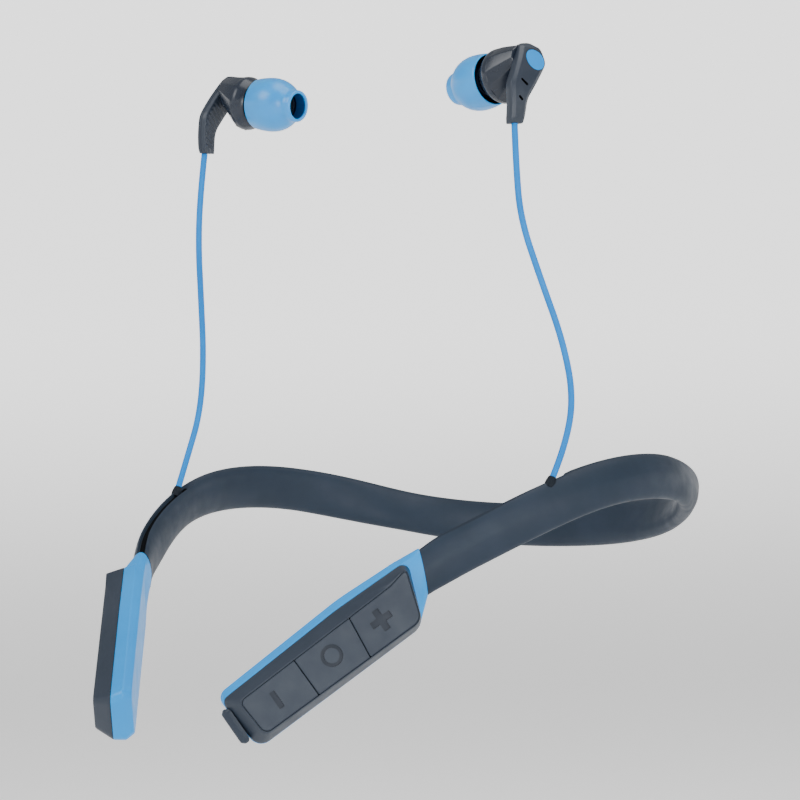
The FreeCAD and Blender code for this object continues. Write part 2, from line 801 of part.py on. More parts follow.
def paddle_prism(name, shrink):
    """The back cover's face outline, run straight through."""
    body = new_body(f"{name}_prism", paddle_placement())
    sketch = new_sketch(body, "YZ_Plane", f"{name}_outline", "-6")
    draw_outline(sketch, inset(PADDLE, shrink) if shrink else PADDLE)
    pad(body, sketch, "16", f"{name}_outline_pad")
    return body


def revolved(name, outline, place):
    """A body turned about its own x axis; the outline gives (x, radius) corners."""
    body = new_body(name, place)
    sketch = new_sketch(body, "XY_Plane", f"{name}_profile")
    draw_outline(sketch, [(x, y, radius) for x, y, radius in outline])
    revolve(body, sketch, f"{name}_turned")
    return body


def oblique_cone(name, first_x, first_radius, last_x, last_radius):
    """A cone from a circle on the nozzle's axis to one partway along the line to the neck."""
    place = bud_placement()
    start_x = -4.8
    circles = []
    for index, (x, radius) in enumerate(((first_x, first_radius), (last_x, last_radius))):
        share = (x - start_x) / (NECK_CENTRE[0] - start_x)
        circle = doc.addObject("Part::Circle", f"{name}_circle_{index}")
        bind(circle, "Radius", radius)
        centre = Vector(x, NECK_CENTRE[1] * share, NECK_CENTRE[2] * share)
        circle.Placement = place * Placement(centre, Rotation(Vector(0, 0, 1), Vector(1, 0, 0)))
        circles.append(circle)
    cone = doc.addObject("Part::Loft", name)
    cone.Sections = circles
    cone.Solid = True
    cone.Ruled = True
    return cone


def build_housing():
    """The nozzle and flange, the neck that runs back to the stem, and the stem's inner plate."""
    nozzle = size("nozzle_radius")
    bore = size("nozzle_bore")
    outer = size("housing_radius")
    cup = revolved("housing_cup", [
        (-17.4, bore, 0), (-17.4, nozzle, 0.3), (-8.0, nozzle, 0), (-8.0, 5.2, 0.3), (-5.8, outer, 0.6),
        (-4.6, outer, 0), (-4.6, 4.9, 0), (-6.2, 4.7, 0.3), (-7.0, 4.5, 0.3), (-7.0, bore, 0)],
        bud_placement())
    neck = oblique_cone("housing_neck", -4.8, "$housing_radius - 0.05", NECK_CENTRE[0], "3.4")
    inside = oblique_cone("housing_inside", -4.9, "$housing_radius - 1.5", -0.4, "2.7")
    beyond = side_slab("housing_beyond", -8.0, size("paddle_skin") + 0.02)
    plate = common(
        "housing_plate", side_slab("plate", size("paddle_skin") + 0.02, size("paddle_back")),
        paddle_prism("plate", 0.15))
    solid = fuse("housing_solid", [cup, cut("housing_neck_cut", neck, beyond), plate])
    hollow = fuse("housing_hollow", [inside, cord_hole("housing_hole")])
    node(cut("bud_housing_cut", solid, hollow), "left_bud_housing")


def cord_hole(name):
    """The hole up the stem that the cord's end sits in."""
    return placed_cylinder(
        name, paddle_placement(), "$cord_diameter / 2 + 0.15", "5.2",
        tuple(STEM_END - Vector(0, 0, 1)), Vector(0, 0, 1))


def build_cover():
    """The back cover: a paddle-shaped skin with a hollow for the inlay and two vents."""
    slab = side_slab("cover", 0.0, size("paddle_skin"))
    skin = common("cover_skin", slab, paddle_prism("cover", 0))
    place = paddle_placement()
    vents = []
    for index, (y, z, length) in enumerate(((-0.6, -3.4, 2.2), (-2.2, -7.3, 1.4))):
        slot = placed_box(f"vent_{index}", place, ("8", f"{length}", "0.6"), (0, 0, 0))
        slant = Rotation(Vector(1, 0, 0), -42)
        slot.Placement = place * Placement(Vector(0, y - length / 2, z + 0.5), slant)
        vents.append(slot)
    pit = inlay_tool("cover_pit", 0.03)
    tools = fuse("cover_tools", vents + [pit, cord_hole("cover_hole")])
    node(cut("bud_cover_cut", skin, tools), "left_bud_cover")
    inlay = common("inlay_skin", side_slab("inlay", 0.0, size("inlay_depth")), inlay_tool("inlay_disc", 0.0))
    node(inlay, "left_cover_inlay")


def inlay_tool(name, grow):
    """The round space that the inlay fills, from its own depth outwards."""
    disc = placed_cylinder(
        f"{name}_disc", paddle_placement(), f"$inlay_radius + {grow}", "12", (-2, 4.1, 2.0), Vector(1, 0, 0))
    slab = side_slab(f"{name}", -3.0, size("inlay_depth") + grow)
    return common(name, slab, disc)


def build_driver():
    """The driver's basket and magnet, its diaphragm, and the mesh in the nozzle."""
    place = bud_placement()
    basket = placed_cylinder(
        "basket", place, "$driver_radius", "$driver_depth", (-6.8, 0, 0), Vector(1, 0, 0))
    well = placed_cylinder("basket_well", place, "$driver_radius - 0.5", "0.8", (-6.9, 0, 0), Vector(1, 0, 0))
    magnet = placed_cylinder("magnet", place, "2.4", "1.3", (-5.3, 0, 0), Vector(1, 0, 0))
    node(fuse("driver", [cut("basket_open", basket, well), magnet]), "left_driver")
    node(placed_cylinder(
        "diaphragm", place, "$driver_radius - 0.6", "$diaphragm_thickness", (-6.5, 0, 0), Vector(1, 0, 0)),
        "left_diaphragm")
    node(placed_cylinder(
        "mesh", place, "$nozzle_bore - 0.02", "$mesh_thickness", (-17.3, 0, 0), Vector(1, 0, 0)),
        "left_nozzle_mesh")


def build_tip():
    """The ear tip: a tube on the nozzle, its mouth, and the soft bulb that folds back round it."""
    bore = size("tip_bore")
    mouth = size("tip_mouth_radius")
    widest = size("tip_radius")
    tip = revolved("ear_tip_body", [
        (-20.8, 3.0, 0), (-20.8, mouth, 0.5), (-18.9, mouth - 0.1, 0.5), (-17.4, 5.5, 2.0),
        (-13.6, widest + 0.35, 5.0), (-8.8, 6.0, 0), (-8.8, 5.4, 0), (-13.4, widest - 0.6, 5.0),
        (-16.2, 4.9, 1.5), (-17.2, mouth - 0.2, 0.3), (-10.4, mouth - 0.2, 0), (-10.4, bore, 0),
        (-17.7, bore, 0), (-17.7, 3.0, 0)], bud_placement())
    node(tip, "left_ear_tip")


# ---------------------------------------------------------------- cords

CORD_ROUTE = [
    (59.3, -10.4, 11.6), (60.0, -6.6, 18.4), (59.3, -2.3, 29.5), (57.0, -2.9, 42.5),
    (53.9, -6.4, 56.5), (51.2, -9.6, 70.0), (50.2, -9.5, 82.0), (49.3, -8.6, 91.7)]
GLAND_POINT = Vector(59.3, -10.4, 11.6)


def gland_placement(side):
    """The gland's frame: its own z is the way the cord leaves the band."""
    way = Vector(*CORD_ROUTE[1]) - Vector(*CORD_ROUTE[0])
    point = Vector(GLAND_POINT)
    if side < 0:
        way, point = mirrored(way), mirrored(point)
    return Placement(point, Rotation(Vector(0, 0, 1), way))


def build_gland():
    """The soft gland that the cord comes out of, seated in the band's upper edge."""
    place = gland_placement(1)
    plug = placed_cylinder(
        "gland_plug", place, "$gland_radius", "$gland_length", (0, 0, -size("gland_length")))
    cone = doc.addObject("Part::Cone", "gland_cone")
    bind(cone, "Radius1", "$gland_radius")
    bind(cone, "Radius2", "$cord_diameter / 2 + 0.2")
    cone.Height = 1.2
    cone.Placement = place * Placement(Vector(0, 0, -1.2), Rotation())
    short = placed_cylinder(
        "gland_base", place, "$gland_radius", "$gland_length - 1.2", (0, 0, -size("gland_length")))
    doc.removeObject(plug.Name)
    node(fuse("gland", [short, cone]), "left_cord_gland")


def cord_edges(route):
    """Straight runs joined by tangent arcs, each as large as its two runs allow."""
    points = [Vector(*point) for point in route]
    edges = []
    start = points[0]
    for before, corner, after in zip(points, points[1:], points[2:]):
        back = unit(before - corner)
        ahead = unit(after - corner)
        half_turn = (math.pi - back.getAngle(ahead)) / 2
        shorter = min((before - corner).Length, (after - corner).Length)
        radius = 0.45 * shorter / math.tan(half_turn)
        first, middle, last = corner_arc(before, corner, after, radius)
        edges.append(Part.LineSegment(start, first).toShape())
        edges.append(Part.Arc(first, middle, last).toShape())
        print(f"cord: turn {math.degrees(2 * half_turn):.1f} deg, radius {radius:.1f} mm")
        start = last
    edges.append(Part.LineSegment(start, points[-1]).toShape())
    return edges


def build_cord():
    """The free cord from the gland to the bud's stem."""
    path = Part.Wire(cord_edges(CORD_ROUTE))
    radius = size("cord_diameter") / 2
    way = Vector(*CORD_ROUTE[1]) - Vector(*CORD_ROUTE[0])
    profile = Part.Wire(Part.Circle(Vector(*CORD_ROUTE[0]), way, radius).toShape())
    tube = path.makePipeShell([profile], True, False)
    expected = math.pi * radius ** 2 * path.Length
    print(f"cord: length {path.Length:.1f} mm, volume {tube.Volume:.1f}, section times length {expected:.1f}")
    cord = doc.addObject("Part::Feature", "cord")
    cord.Shape = tube
    node(cord, "left_cord")


def build_anchor():
    """The crimped stop on the cord's end, inside the stem."""
    place = paddle_placement()
    node(placed_cylinder(
        "anchor", place, "$cord_diameter / 2 + 0.12", "3.4", tuple(STEM_END), Vector(0, 0, 1)),
        "left_cord_anchor")


def build_buds():
    """The left bud and cord, then their mirror images on the right."""
    first = len(nodes)
    build_gland()
    build_cord()
    build_anchor()
    build_housing()
    build_cover()
    build_driver()
    build_tip()
    for left in nodes[first:]:
        twin = doc.addObject("Part::Mirroring", f"mirror_{left.Name}")
        twin.Source = left
        twin.Base = Vector(0, 0, 0)
        twin.Normal = Vector(1, 0, 0)
        node(twin, left.Label.replace("left_", "right_"))


# ---------------------------------------------------------------- build, check and write

def check_document():
    """Stops if any object failed, or a sub-part has no sound shape."""
    for thing in doc.Objects:
        if "Invalid" in thing.State or "Error" in thing.State:
            raise RuntimeError(f"{thing.Name} failed: {thing.State}")
    for thing in nodes:
        shape = thing.Shape
        if shape.isNull() or not shape.isValid() or not shape.Solids:
            raise RuntimeError(f"{thing.Label} has no valid solid")


build_collar()
build_control_pod()
build_battery_pod()
build_buds()
doc.recompute()
check_document()
os.makedirs("parts", exist_ok=True)
for thing in nodes:
    thing.Shape.exportStep(f"parts/{thing.Label}.step")
    print(f"{thing.Label}: {thing.Shape.Volume:.1f} mm3, {len(thing.Shape.Solids)} solid(s)")
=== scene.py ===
import math

import bmesh
import bpy
from mathutils import Matrix, Vector


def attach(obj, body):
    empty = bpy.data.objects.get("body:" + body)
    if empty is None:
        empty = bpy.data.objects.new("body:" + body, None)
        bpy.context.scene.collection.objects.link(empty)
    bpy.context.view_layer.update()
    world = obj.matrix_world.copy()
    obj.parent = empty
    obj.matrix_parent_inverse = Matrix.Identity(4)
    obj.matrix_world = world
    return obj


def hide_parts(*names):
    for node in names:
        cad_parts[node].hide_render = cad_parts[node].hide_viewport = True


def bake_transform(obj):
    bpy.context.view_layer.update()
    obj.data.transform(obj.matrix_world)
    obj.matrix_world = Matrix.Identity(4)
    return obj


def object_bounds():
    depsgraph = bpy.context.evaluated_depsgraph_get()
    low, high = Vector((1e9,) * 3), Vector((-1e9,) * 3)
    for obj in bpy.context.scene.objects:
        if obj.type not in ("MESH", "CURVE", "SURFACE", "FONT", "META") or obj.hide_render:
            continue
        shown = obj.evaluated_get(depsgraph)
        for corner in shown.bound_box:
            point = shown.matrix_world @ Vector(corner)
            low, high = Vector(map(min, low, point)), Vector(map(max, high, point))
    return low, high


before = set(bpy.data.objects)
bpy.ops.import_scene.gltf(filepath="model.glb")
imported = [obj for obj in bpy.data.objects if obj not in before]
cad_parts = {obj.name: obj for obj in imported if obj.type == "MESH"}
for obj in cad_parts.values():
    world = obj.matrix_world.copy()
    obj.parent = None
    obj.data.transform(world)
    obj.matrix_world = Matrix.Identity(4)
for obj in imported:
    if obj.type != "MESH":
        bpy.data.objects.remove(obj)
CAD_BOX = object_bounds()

# The looks of a pair of neckband earphones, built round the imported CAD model.
# Lengths are in millimetres until the last step of each piece, where MM turns them into metres.
# The left side (+X) is drawn, and the right side is its mirror image unless a function says otherwise.

MM = 0.001
SIDES = ((1, "left", "control_arm"), (-1, "right", "battery_arm"))


def mirrored(point, side):
    return Vector((point[0] * side, point[1], point[2]))


def unit(vector):
    return Vector(vector).normalized()


def lerp(a, b, share):
    return a + (b - a) * share


def ease(low, high, value):
    """0 below low, 1 above high, and a smooth step between."""
    share = min(max((value - low) / (high - low), 0.0), 1.0)
    return share * share * (3 - 2 * share)


# ---------------------------------------------------------------- meshes


def make_object(name, points, faces, materials, smooth_angle=40.0, face_slots=None):
    """A mesh object from points in millimetres, shaded smooth except at edges sharper than the angle."""
    mesh = bpy.data.meshes.new(name)
    mesh.from_pydata([tuple(p * MM) for p in points], [], faces)
    mesh.validate()
    for material in materials:
        mesh.materials.append(material)
    if face_slots:
        for polygon, slot in zip(mesh.polygons, face_slots):
            polygon.material_index = slot
    mesh.polygons.foreach_set("use_smooth", [True] * len(mesh.polygons))
    mesh.set_sharp_from_angle(angle=math.radians(smooth_angle))
    mesh.update()
    thing = bpy.data.objects.new(name, mesh)
    bpy.context.scene.collection.objects.link(thing)
    return thing


def loft_faces(ring_count, ring_size, flip, cap_first=False, cap_last=False):
    """Quads between rings that follow each other, with flat ends where asked."""
    faces = []
    for ring in range(ring_count - 1):
        base = ring * ring_size
        for step in range(ring_size):
            after = (step + 1) % ring_size
            quad = [base + step, base + after, base + ring_size + after, base + ring_size + step]
            faces.append(quad[::-1] if flip else quad)
    if cap_first:
        end = list(range(ring_size))
        faces.append(end if flip else end[::-1])
    if cap_last:
        end = list(range((ring_count - 1) * ring_size, ring_count * ring_size))
        faces.append(end[::-1] if flip else end)
    return faces


def lofted(name, rings, materials, side=1, smooth_angle=40.0, cap_first=False, cap_last=False, flip=False):
    """An object lofted through rings of points, mirrored for the right side."""
    points = [mirrored(p, side) for ring in rings for p in ring]
    turned = flip != (side < 0)
    faces = loft_faces(len(rings), len(rings[0]), turned, cap_first, cap_last)
    return make_object(name, points, faces, materials, smooth_angle)


def face_outwards(thing):
    """Turns every face of a closed mesh to the outside."""
    work = bmesh.new()
    work.from_mesh(thing.data)
    bmesh.ops.recalc_face_normals(work, faces=work.faces)
    work.to_mesh(thing.data)
    work.free()


CARVED_SHARP = 45.0


def carve(thing, cutter):
    """Cuts one mesh out of another, and leaves the cutter's material on the cut."""
    face_outwards(thing)
    face_outwards(cutter)
    modifier = thing.modifiers.new("cut", "BOOLEAN")
    modifier.operation = "DIFFERENCE"
    modifier.solver = "EXACT"
    modifier.material_mode = "TRANSFER"
    modifier.object = cutter
    bpy.context.view_layer.update()
    result = bpy.data.meshes.new_from_object(thing.evaluated_get(bpy.context.evaluated_depsgraph_get()))
    thing.modifiers.clear()
    result.set_sharp_from_angle(angle=math.radians(CARVED_SHARP))
    thing.data = result
    bpy.data.objects.remove(cutter)


def rounded(corners, steps=7):
    """Points round a polygon whose corners are (x, y, radius), the same count whatever the radii."""
    ring = []
    count = len(corners)
    for index, (x, y, radius) in enumerate(corners):
        corner = Vector((x, y))
        before = Vector(corners[index - 1][:2]) - corner
        after = Vector(corners[(index + 1) % count][:2]) - corner
        back = before.normalized()
        ahead = after.normalized()
        half = back.angle(ahead) / 2
        radius = max(min(radius, 0.49 * min(before.length, after.length) * math.tan(half)), 0.01)
        reach = radius / math.tan(half)
        centre = corner + (back + ahead).normalized() * (radius / math.sin(half))
        first = corner + back * reach - centre
        last = corner + ahead * reach - centre
        sweep = math.pi - 2 * half
        for step in range(steps + 1):
            share = step / steps
            ring.append(centre + (first * math.sin((1 - share) * sweep) + last * math.sin(share * sweep))
                        / math.sin(sweep))
    return ring


def inset(corners, distance):
    """The outline moved inwards, its corner radii shrunk to suit."""
    count = len(corners)
    area = sum(corners[i - 1][0] * corners[i][1] - corners[i][0] * corners[i - 1][1] for i in range(count))
    turn = 1 if area > 0 else -1
    moved = []
    for index, (x, y, radius) in enumerate(corners):
        arriving = (Vector((x, y)) - Vector(corners[index - 1][:2])).normalized()
        leaving = (Vector(corners[(index + 1) % count][:2]) - Vector((x, y))).normalized()
        normal = Vector((-arriving.y, arriving.x)) * turn
        bisector = (normal + Vector((-leaving.y, leaving.x)) * turn).normalized()
        corner = Vector((x, y)) + bisector * (distance / bisector.dot(normal))
        moved.append((corner.x, corner.y, max(radius - distance, 0.3)))
    return moved


# ---------------------------------------------------------------- materials

# the part of a noise's range that a ramp spreads over
RAMP_LOW = 0.3
RAMP_HIGH = 0.7
# noise scales, larger for finer: slow drift of colour, and blotches of roughness
DRIFT_SCALE = 90.0
BLOTCH_SCALE = 260.0
GRAIN_STRENGTH = 0.35
COAT_ROUGHNESS = 0.25

def new_material(name):
    material = bpy.data.materials.new(name)
    material.use_nodes = True
    nodes = material.node_tree.nodes
    return material, nodes, material.node_tree.links, nodes["Principled BSDF"]


def noise(nodes, links, scale, detail=4.0, coordinates=None):
    texture = nodes.new("ShaderNodeTexNoise")
    texture.inputs["Scale"].default_value = scale
    texture.inputs["Detail"].default_value = detail
    source = coordinates or nodes.new("ShaderNodeTexCoord").outputs["Object"]
    links.new(source, texture.inputs["Vector"])
    return texture.outputs["Fac"]


def ramp(nodes, links, value, low, high):
    """Maps a value between two colours."""
    colours = nodes.new("ShaderNodeValToRGB")
    colours.color_ramp.elements[0].position = RAMP_LOW
    colours.color_ramp.elements[1].position = RAMP_HIGH
    colours.color_ramp.elements[0].color = (*low, 1)
    colours.color_ramp.elements[1].color = (*high, 1)
    links.new(value, colours.inputs["Fac"])
    return colours.outputs["Color"]


def bump(nodes, links, shader, height, distance, strength):
    node = nodes.new("ShaderNodeBump")
    node.inputs["Distance"].default_value = distance
    node.inputs["Strength"].default_value = strength
    links.new(height, node.inputs["Height"])
    links.new(node.outputs["Normal"], shader.inputs["Normal"])


def vary_roughness(nodes, links, shader, value, roughness, spread):
    """Roughness that wanders a little about its middle value."""
    low, high = (roughness - spread,) * 3, (roughness + spread,) * 3
    links.new(ramp(nodes, links, value, low, high), shader.inputs["Roughness"])


def moulded(name, dark, light, roughness, grain=9000.0, depth=0.00002, coat=0.0, specular=0.5):
    """A moulded or coated surface: slight colour drift, varied roughness and a fine grain."""
    material, nodes, links, shader = new_material(name)
    drift = noise(nodes, links, DRIFT_SCALE, 3.0)
    links.new(ramp(nodes, links, drift, dark, light), shader.inputs["Base Color"])
    vary_roughness(nodes, links, shader, noise(nodes, links, BLOTCH_SCALE, 5.0), roughness, 0.06)
    bump(nodes, links, shader, noise(nodes, links, grain, 2.0), depth, GRAIN_STRENGTH)
    shader.inputs["Coat Weight"].default_value = coat
    shader.inputs["Coat Roughness"].default_value = COAT_ROUGHNESS
    shader.inputs["Specular IOR Level"].default_value = specular
    return material


def silicone(name, dark, light):
    """Translucent silicone: light goes into it a little way and comes out soft."""
    material, nodes, links, shader = new_material(name)
    drift = noise(nodes, links, 140.0, 3.0)
    links.new(ramp(nodes, links, drift, dark, light), shader.inputs["Base Color"])
    shader.inputs["Roughness"].default_value = 0.32
    shader.inputs["Subsurface Weight"].default_value = 0.45
    shader.inputs["Subsurface Radius"].default_value = (0.4, 0.8, 1.0)
    shader.inputs["Subsurface Scale"].default_value = 0.0012
    shader.inputs["Coat Weight"].default_value = 0.15
    shader.inputs["Coat Roughness"].default_value = 0.3
    bump(nodes, links, shader, noise(nodes, links, 6000.0, 2.0), 0.000015, 0.3)
    return material


def brushed(name, colour, roughness):
    """Bare or plated metal with fine drawn lines."""
    material, nodes, links, shader = new_material(name)
    mapping = nodes.new("ShaderNodeMapping")
    mapping.inputs["Scale"].default_value = (1.0, 12.0, 12.0)
    links.new(nodes.new("ShaderNodeTexCoord").outputs["Object"], mapping.inputs["Vector"])
    lines = noise(nodes, links, 900.0, 3.0, mapping.outputs["Vector"])
    dark = tuple(c * 0.8 for c in colour)
    links.new(ramp(nodes, links, lines, dark, colour), shader.inputs["Base Color"])
    vary_roughness(nodes, links, shader, lines, roughness, 0.08)
    shader.inputs["Metallic"].default_value = 1.0
    bump(nodes, links, shader, lines, 0.00001, 0.3)
    return material


def make_materials():
    """One material for each finish."""
    return {
        "collar": moulded(
            "collar_soft_touch", (0.009, 0.018, 0.032), (0.013, 0.023, 0.040), 0.5, specular=0.25),
        # groove: near black, painted shade inside the band's cord slot and the cover's vents
        "groove": moulded("groove_black", (0.001, 0.0015, 0.002), (0.002, 0.0025, 0.003), 0.7, specular=0.05),
        "pod": moulded("pod_soft_dark", (0.014, 0.022, 0.036), (0.019, 0.028, 0.043), 0.44, specular=0.3),
        "button": moulded(
            "button_soft_dark", (0.014, 0.022, 0.036), (0.019, 0.028, 0.043), 0.46, specular=0.3),
        # mark: darker than the buttons, painted shade in the sunk marks
        "mark": moulded("button_mark", (0.010, 0.015, 0.025), (0.013, 0.019, 0.030), 0.5, specular=0.25),
        "blue": moulded(
            "frame_blue", (0.0, 0.230, 0.600), (0.001, 0.260, 0.660), 0.34, grain=5000.0, specular=0.25),
        "cord": moulded(
            "cord_blue", (0.0, 0.160, 0.500), (0.001, 0.190, 0.560), 0.45, grain=7000.0, specular=0.15),
        "bud": moulded(
            "bud_semi_gloss", (0.007, 0.012, 0.022), (0.010, 0.016, 0.028), 0.26, specular=0.4, coat=0.1),
        "cover": moulded("cover_satin", (0.014, 0.021, 0.034), (0.019, 0.027, 0.041), 0.36, specular=0.4),
        "inlay": moulded("inlay_blue", (0.0, 0.20, 0.55), (0.001, 0.23, 0.62), 0.4, specular=0.2),
        "tip": silicone("tip_silicone", (0.0, 0.235, 0.600), (0.002, 0.275, 0.680)),
        # tip_inside and tip_skirt: darker copies of the tip's blue, painted shade inside the mouth and under
        # the folded skirt
        "tip_inside": moulded("tip_inside", (0.002, 0.030, 0.12), (0.003, 0.045, 0.16), 0.5, specular=0.2),
        "tip_skirt": moulded("tip_skirt", (0.001, 0.006, 0.02), (0.002, 0.009, 0.03), 0.5, specular=0.15),
        "gland": moulded("gland_dark", (0.004, 0.007, 0.012), (0.006, 0.010, 0.016), 0.55, specular=0.15),
        "board": moulded("board_green", (0.006, 0.06, 0.03), (0.01, 0.09, 0.045), 0.35, coat=0.4),
        "chip": moulded("chip_black", (0.01, 0.01, 0.011), (0.02, 0.02, 0.021), 0.55),
        "ceramic": moulded("ceramic_cream", (0.5, 0.46, 0.38), (0.6, 0.56, 0.47), 0.4),
        "foam": moulded(
            "foam_black", (0.01, 0.01, 0.01), (0.03, 0.03, 0.03), 0.9, grain=1500.0, depth=0.0002),
        "film": moulded("diaphragm_film", (0.4, 0.36, 0.25), (0.5, 0.46, 0.33), 0.25),
        "lens": moulded("lens_frosted", (0.6, 0.68, 0.75), (0.75, 0.82, 0.9), 0.3),
        "steel": brushed("spring_steel", (0.5, 0.5, 0.51), 0.32),
        "nickel": brushed("nickel_plate", (0.62, 0.59, 0.52), 0.3),
        "foil": brushed("cell_foil", (0.6, 0.61, 0.63), 0.42),
    }


def dress_cad(materials):
    """Gives every carried-over CAD node its material; the nodes not named here are all replaced."""
    finish = {
        "control_board": "board", "protection_board": "board", "control_board_screws": "steel",
        "tact_switches": "nickel", "radio_chip": "chip", "antenna": "ceramic", "microphone": "nickel",
        "status_led": "lens", "board_capacitors": "ceramic", "charging_socket": "steel",
        "battery_pad": "foam", "battery_cell": "foil", "cell_tabs": "nickel", "cord_gland": "gland",
        "cover_inlay": "inlay", "driver": "chip", "diaphragm": "film", "nozzle_mesh": "gland",
    }
    for name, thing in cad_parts.items():
        short = name.replace("left_", "").replace("right_", "")
        material = materials[finish.get(short, "pod")]
        if not thing.material_slots:
            thing.data.materials.append(material)
        for slot in thing.material_slots:
            slot.material = material


# ---------------------------------------------------------------- pods

POD_ORIGIN = Vector((45.0, -37.4, -8.0))
POD_ALONG = unit((-0.542, -0.637, -0.548))
POD_RISE = Vector((-0.370, -0.410, 0.834))
POD_RISE = (POD_RISE - POD_ALONG * POD_RISE.dot(POD_ALONG)).normalized()
POD_OUT = POD_RISE.cross(POD_ALONG)
PARTING_HEIGHT = 3.6
FACE_HEIGHT = 7.8
RIDGE_HEIGHT = 0.7
INNER_HEIGHT = -1.2
PARTING = [(2.6, 4.5, 1.8), (22.0, 4.5, 60.0), (54.2, 2.6, 1.8), (53.2, -10.9, 3.0), (8.0, -9.6, 4.0)]
FACE = [(4.2, 3.5, 0.8), (9.5, 2.3, 9.0), (51.3, 0.5, 1.5), (50.6, -9.0, 2.0), (7.9, -8.2, 3.0)]
RIDGE = [(2.6, 5.5, 1.8), (20.0, 6.1, 60.0), (54.2, 3.9, 2.4), (53.2, -11.0, 3.0), (7.2, -9.4, 4.0)]
INNER = [(4.4, 4.2, 1.5), (20.0, 4.8, 60.0), (53.0, 3.0, 2.0), (52.2, -9.6, 2.5), (8.6, -8.2, 3.5)]
WINDOW_INSET = 0.2
BUTTON_GAP = 0.07
MARK_DEPTH = 0.25
MARK_CLEARANCE = 0.3
MARK_CORNER = 0.12
RING_SIDES = 16
# the two grooves between the buttons: where each crosses the line of the marks,
# and its slant along the pod for each mm of rise
GROOVES = ((21.4, -0.11), (36.0, 0.02))
GROOVE_RISE = -3.3


def pod_point(x, rise, out):
    return POD_ORIGIN + POD_ALONG * x + POD_RISE * rise + POD_OUT * out


def pod_ring(outline, height):
    return [pod_point(p.x, p.y, height) for p in rounded(outline)]


def between(first, first_height, last, last_height, share):
    """A ring partway between two outlines at two heights."""
    a = pod_ring(first, first_height)
    b = pod_ring(last, last_height)
    return [lerp(p, q, share) for p, q in zip(a, b)]


def build_pod_shell(side, body, materials):
    """The dark shell, softly rounded at its face; the control side's face is open for the buttons."""
    name = "control_shell" if side > 0 else "battery_shell"
    rings = [
        pod_ring(inset(PARTING, 1.0), PARTING_HEIGHT + 0.5),
        pod_ring(inset(PARTING, 0.3), PARTING_HEIGHT + 0.03),
        pod_ring(inset(PARTING, 0.1), PARTING_HEIGHT + 0.05),
    ]
    for share in (0.05, 0.2, 0.4, 0.6, 0.78, 0.88):
        rings.append(between(PARTING, PARTING_HEIGHT, FACE, FACE_HEIGHT, share))
    rings += [
        between(PARTING, PARTING_HEIGHT, inset(FACE, 0.02), FACE_HEIGHT - 0.03, 0.95),
        pod_ring(inset(FACE, 0.06), FACE_HEIGHT - 0.02),
        pod_ring(inset(FACE, 0.12), FACE_HEIGHT),
    ]
    if side > 0:
        rings += [
            pod_ring(inset(FACE, WINDOW_INSET - 0.05), FACE_HEIGHT),
            pod_ring(inset(FACE, WINDOW_INSET), FACE_HEIGHT - 0.05),
            pod_ring(inset(FACE, WINDOW_INSET), FACE_HEIGHT - 1.3),
        ]
    else:
        rings += [pod_ring(inset(FACE, distance), FACE_HEIGHT) for distance in (1.5, 3.0)]
    shell = lofted(f"{name}_skin", rings, [materials["pod"]], side, 50.0, cap_last=side < 0, flip=True)
    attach(shell, body)
    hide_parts(name)


def clipped(corners, groove, gap, keep_above):
    """The part of an outline on one side of a groove, with a small radius at the new corners."""
    x, slant = groove

    def beyond(corner):
        offset = corner[0] - x - slant * (corner[1] - GROOVE_RISE)
        return (offset if keep_above else -offset) - gap

    kept = []
    for index, corner in enumerate(corners):
        before = corners[index - 1]
        near, far = beyond(before), beyond(corner)
        if near * far < 0:
            share = near / (near - far)
            kept.append((lerp(before[0], corner[0], share), lerp(before[1], corner[1], share), 0.3))
        if far > 0:
            kept.append(corner)
    return kept


def plus_ring(x, rise, arm, half):
    """The outline of a plus sign."""
    return [
        (x + a, rise + b, MARK_CORNER) for a, b in (
            (-half, arm), (-half, half), (-arm, half), (-arm, -half), (-half, -half), (-half, -arm),
            (half, -arm), (half, -half), (arm, -half), (arm, half), (half, half), (half, arm))]


def mark_cutter(corners, materials, hole=None):
    """A solid that sinks a mark into a button's face; its darker material goes onto the mark's floor and
    walls as painted shade.
    """
    floor, top = FACE_HEIGHT - MARK_DEPTH, FACE_HEIGHT + MARK_CLEARANCE
    if hole:
        path = ((hole, top), (hole, floor), (corners, floor), (corners, top), (hole, top))
    else:
        path = ((corners, floor), (corners, top))
    rings = [[pod_point(p.x, p.y, height) for p in rounded(outline, 2)] for outline, height in path]
    return lofted("mark_cutter", rings, [materials["mark"]], cap_first=not hole, cap_last=not hole)


def circle_corners(x, rise, radius):
    """A circle as a many-sided outline with rounded corners."""
    reach = radius / math.cos(math.pi / RING_SIDES)
    turns = [2 * math.pi * i / RING_SIDES for i in range(RING_SIDES)]
    return [(x + reach * math.cos(turn), rise + reach * math.sin(turn), radius * 0.9) for turn in turns]


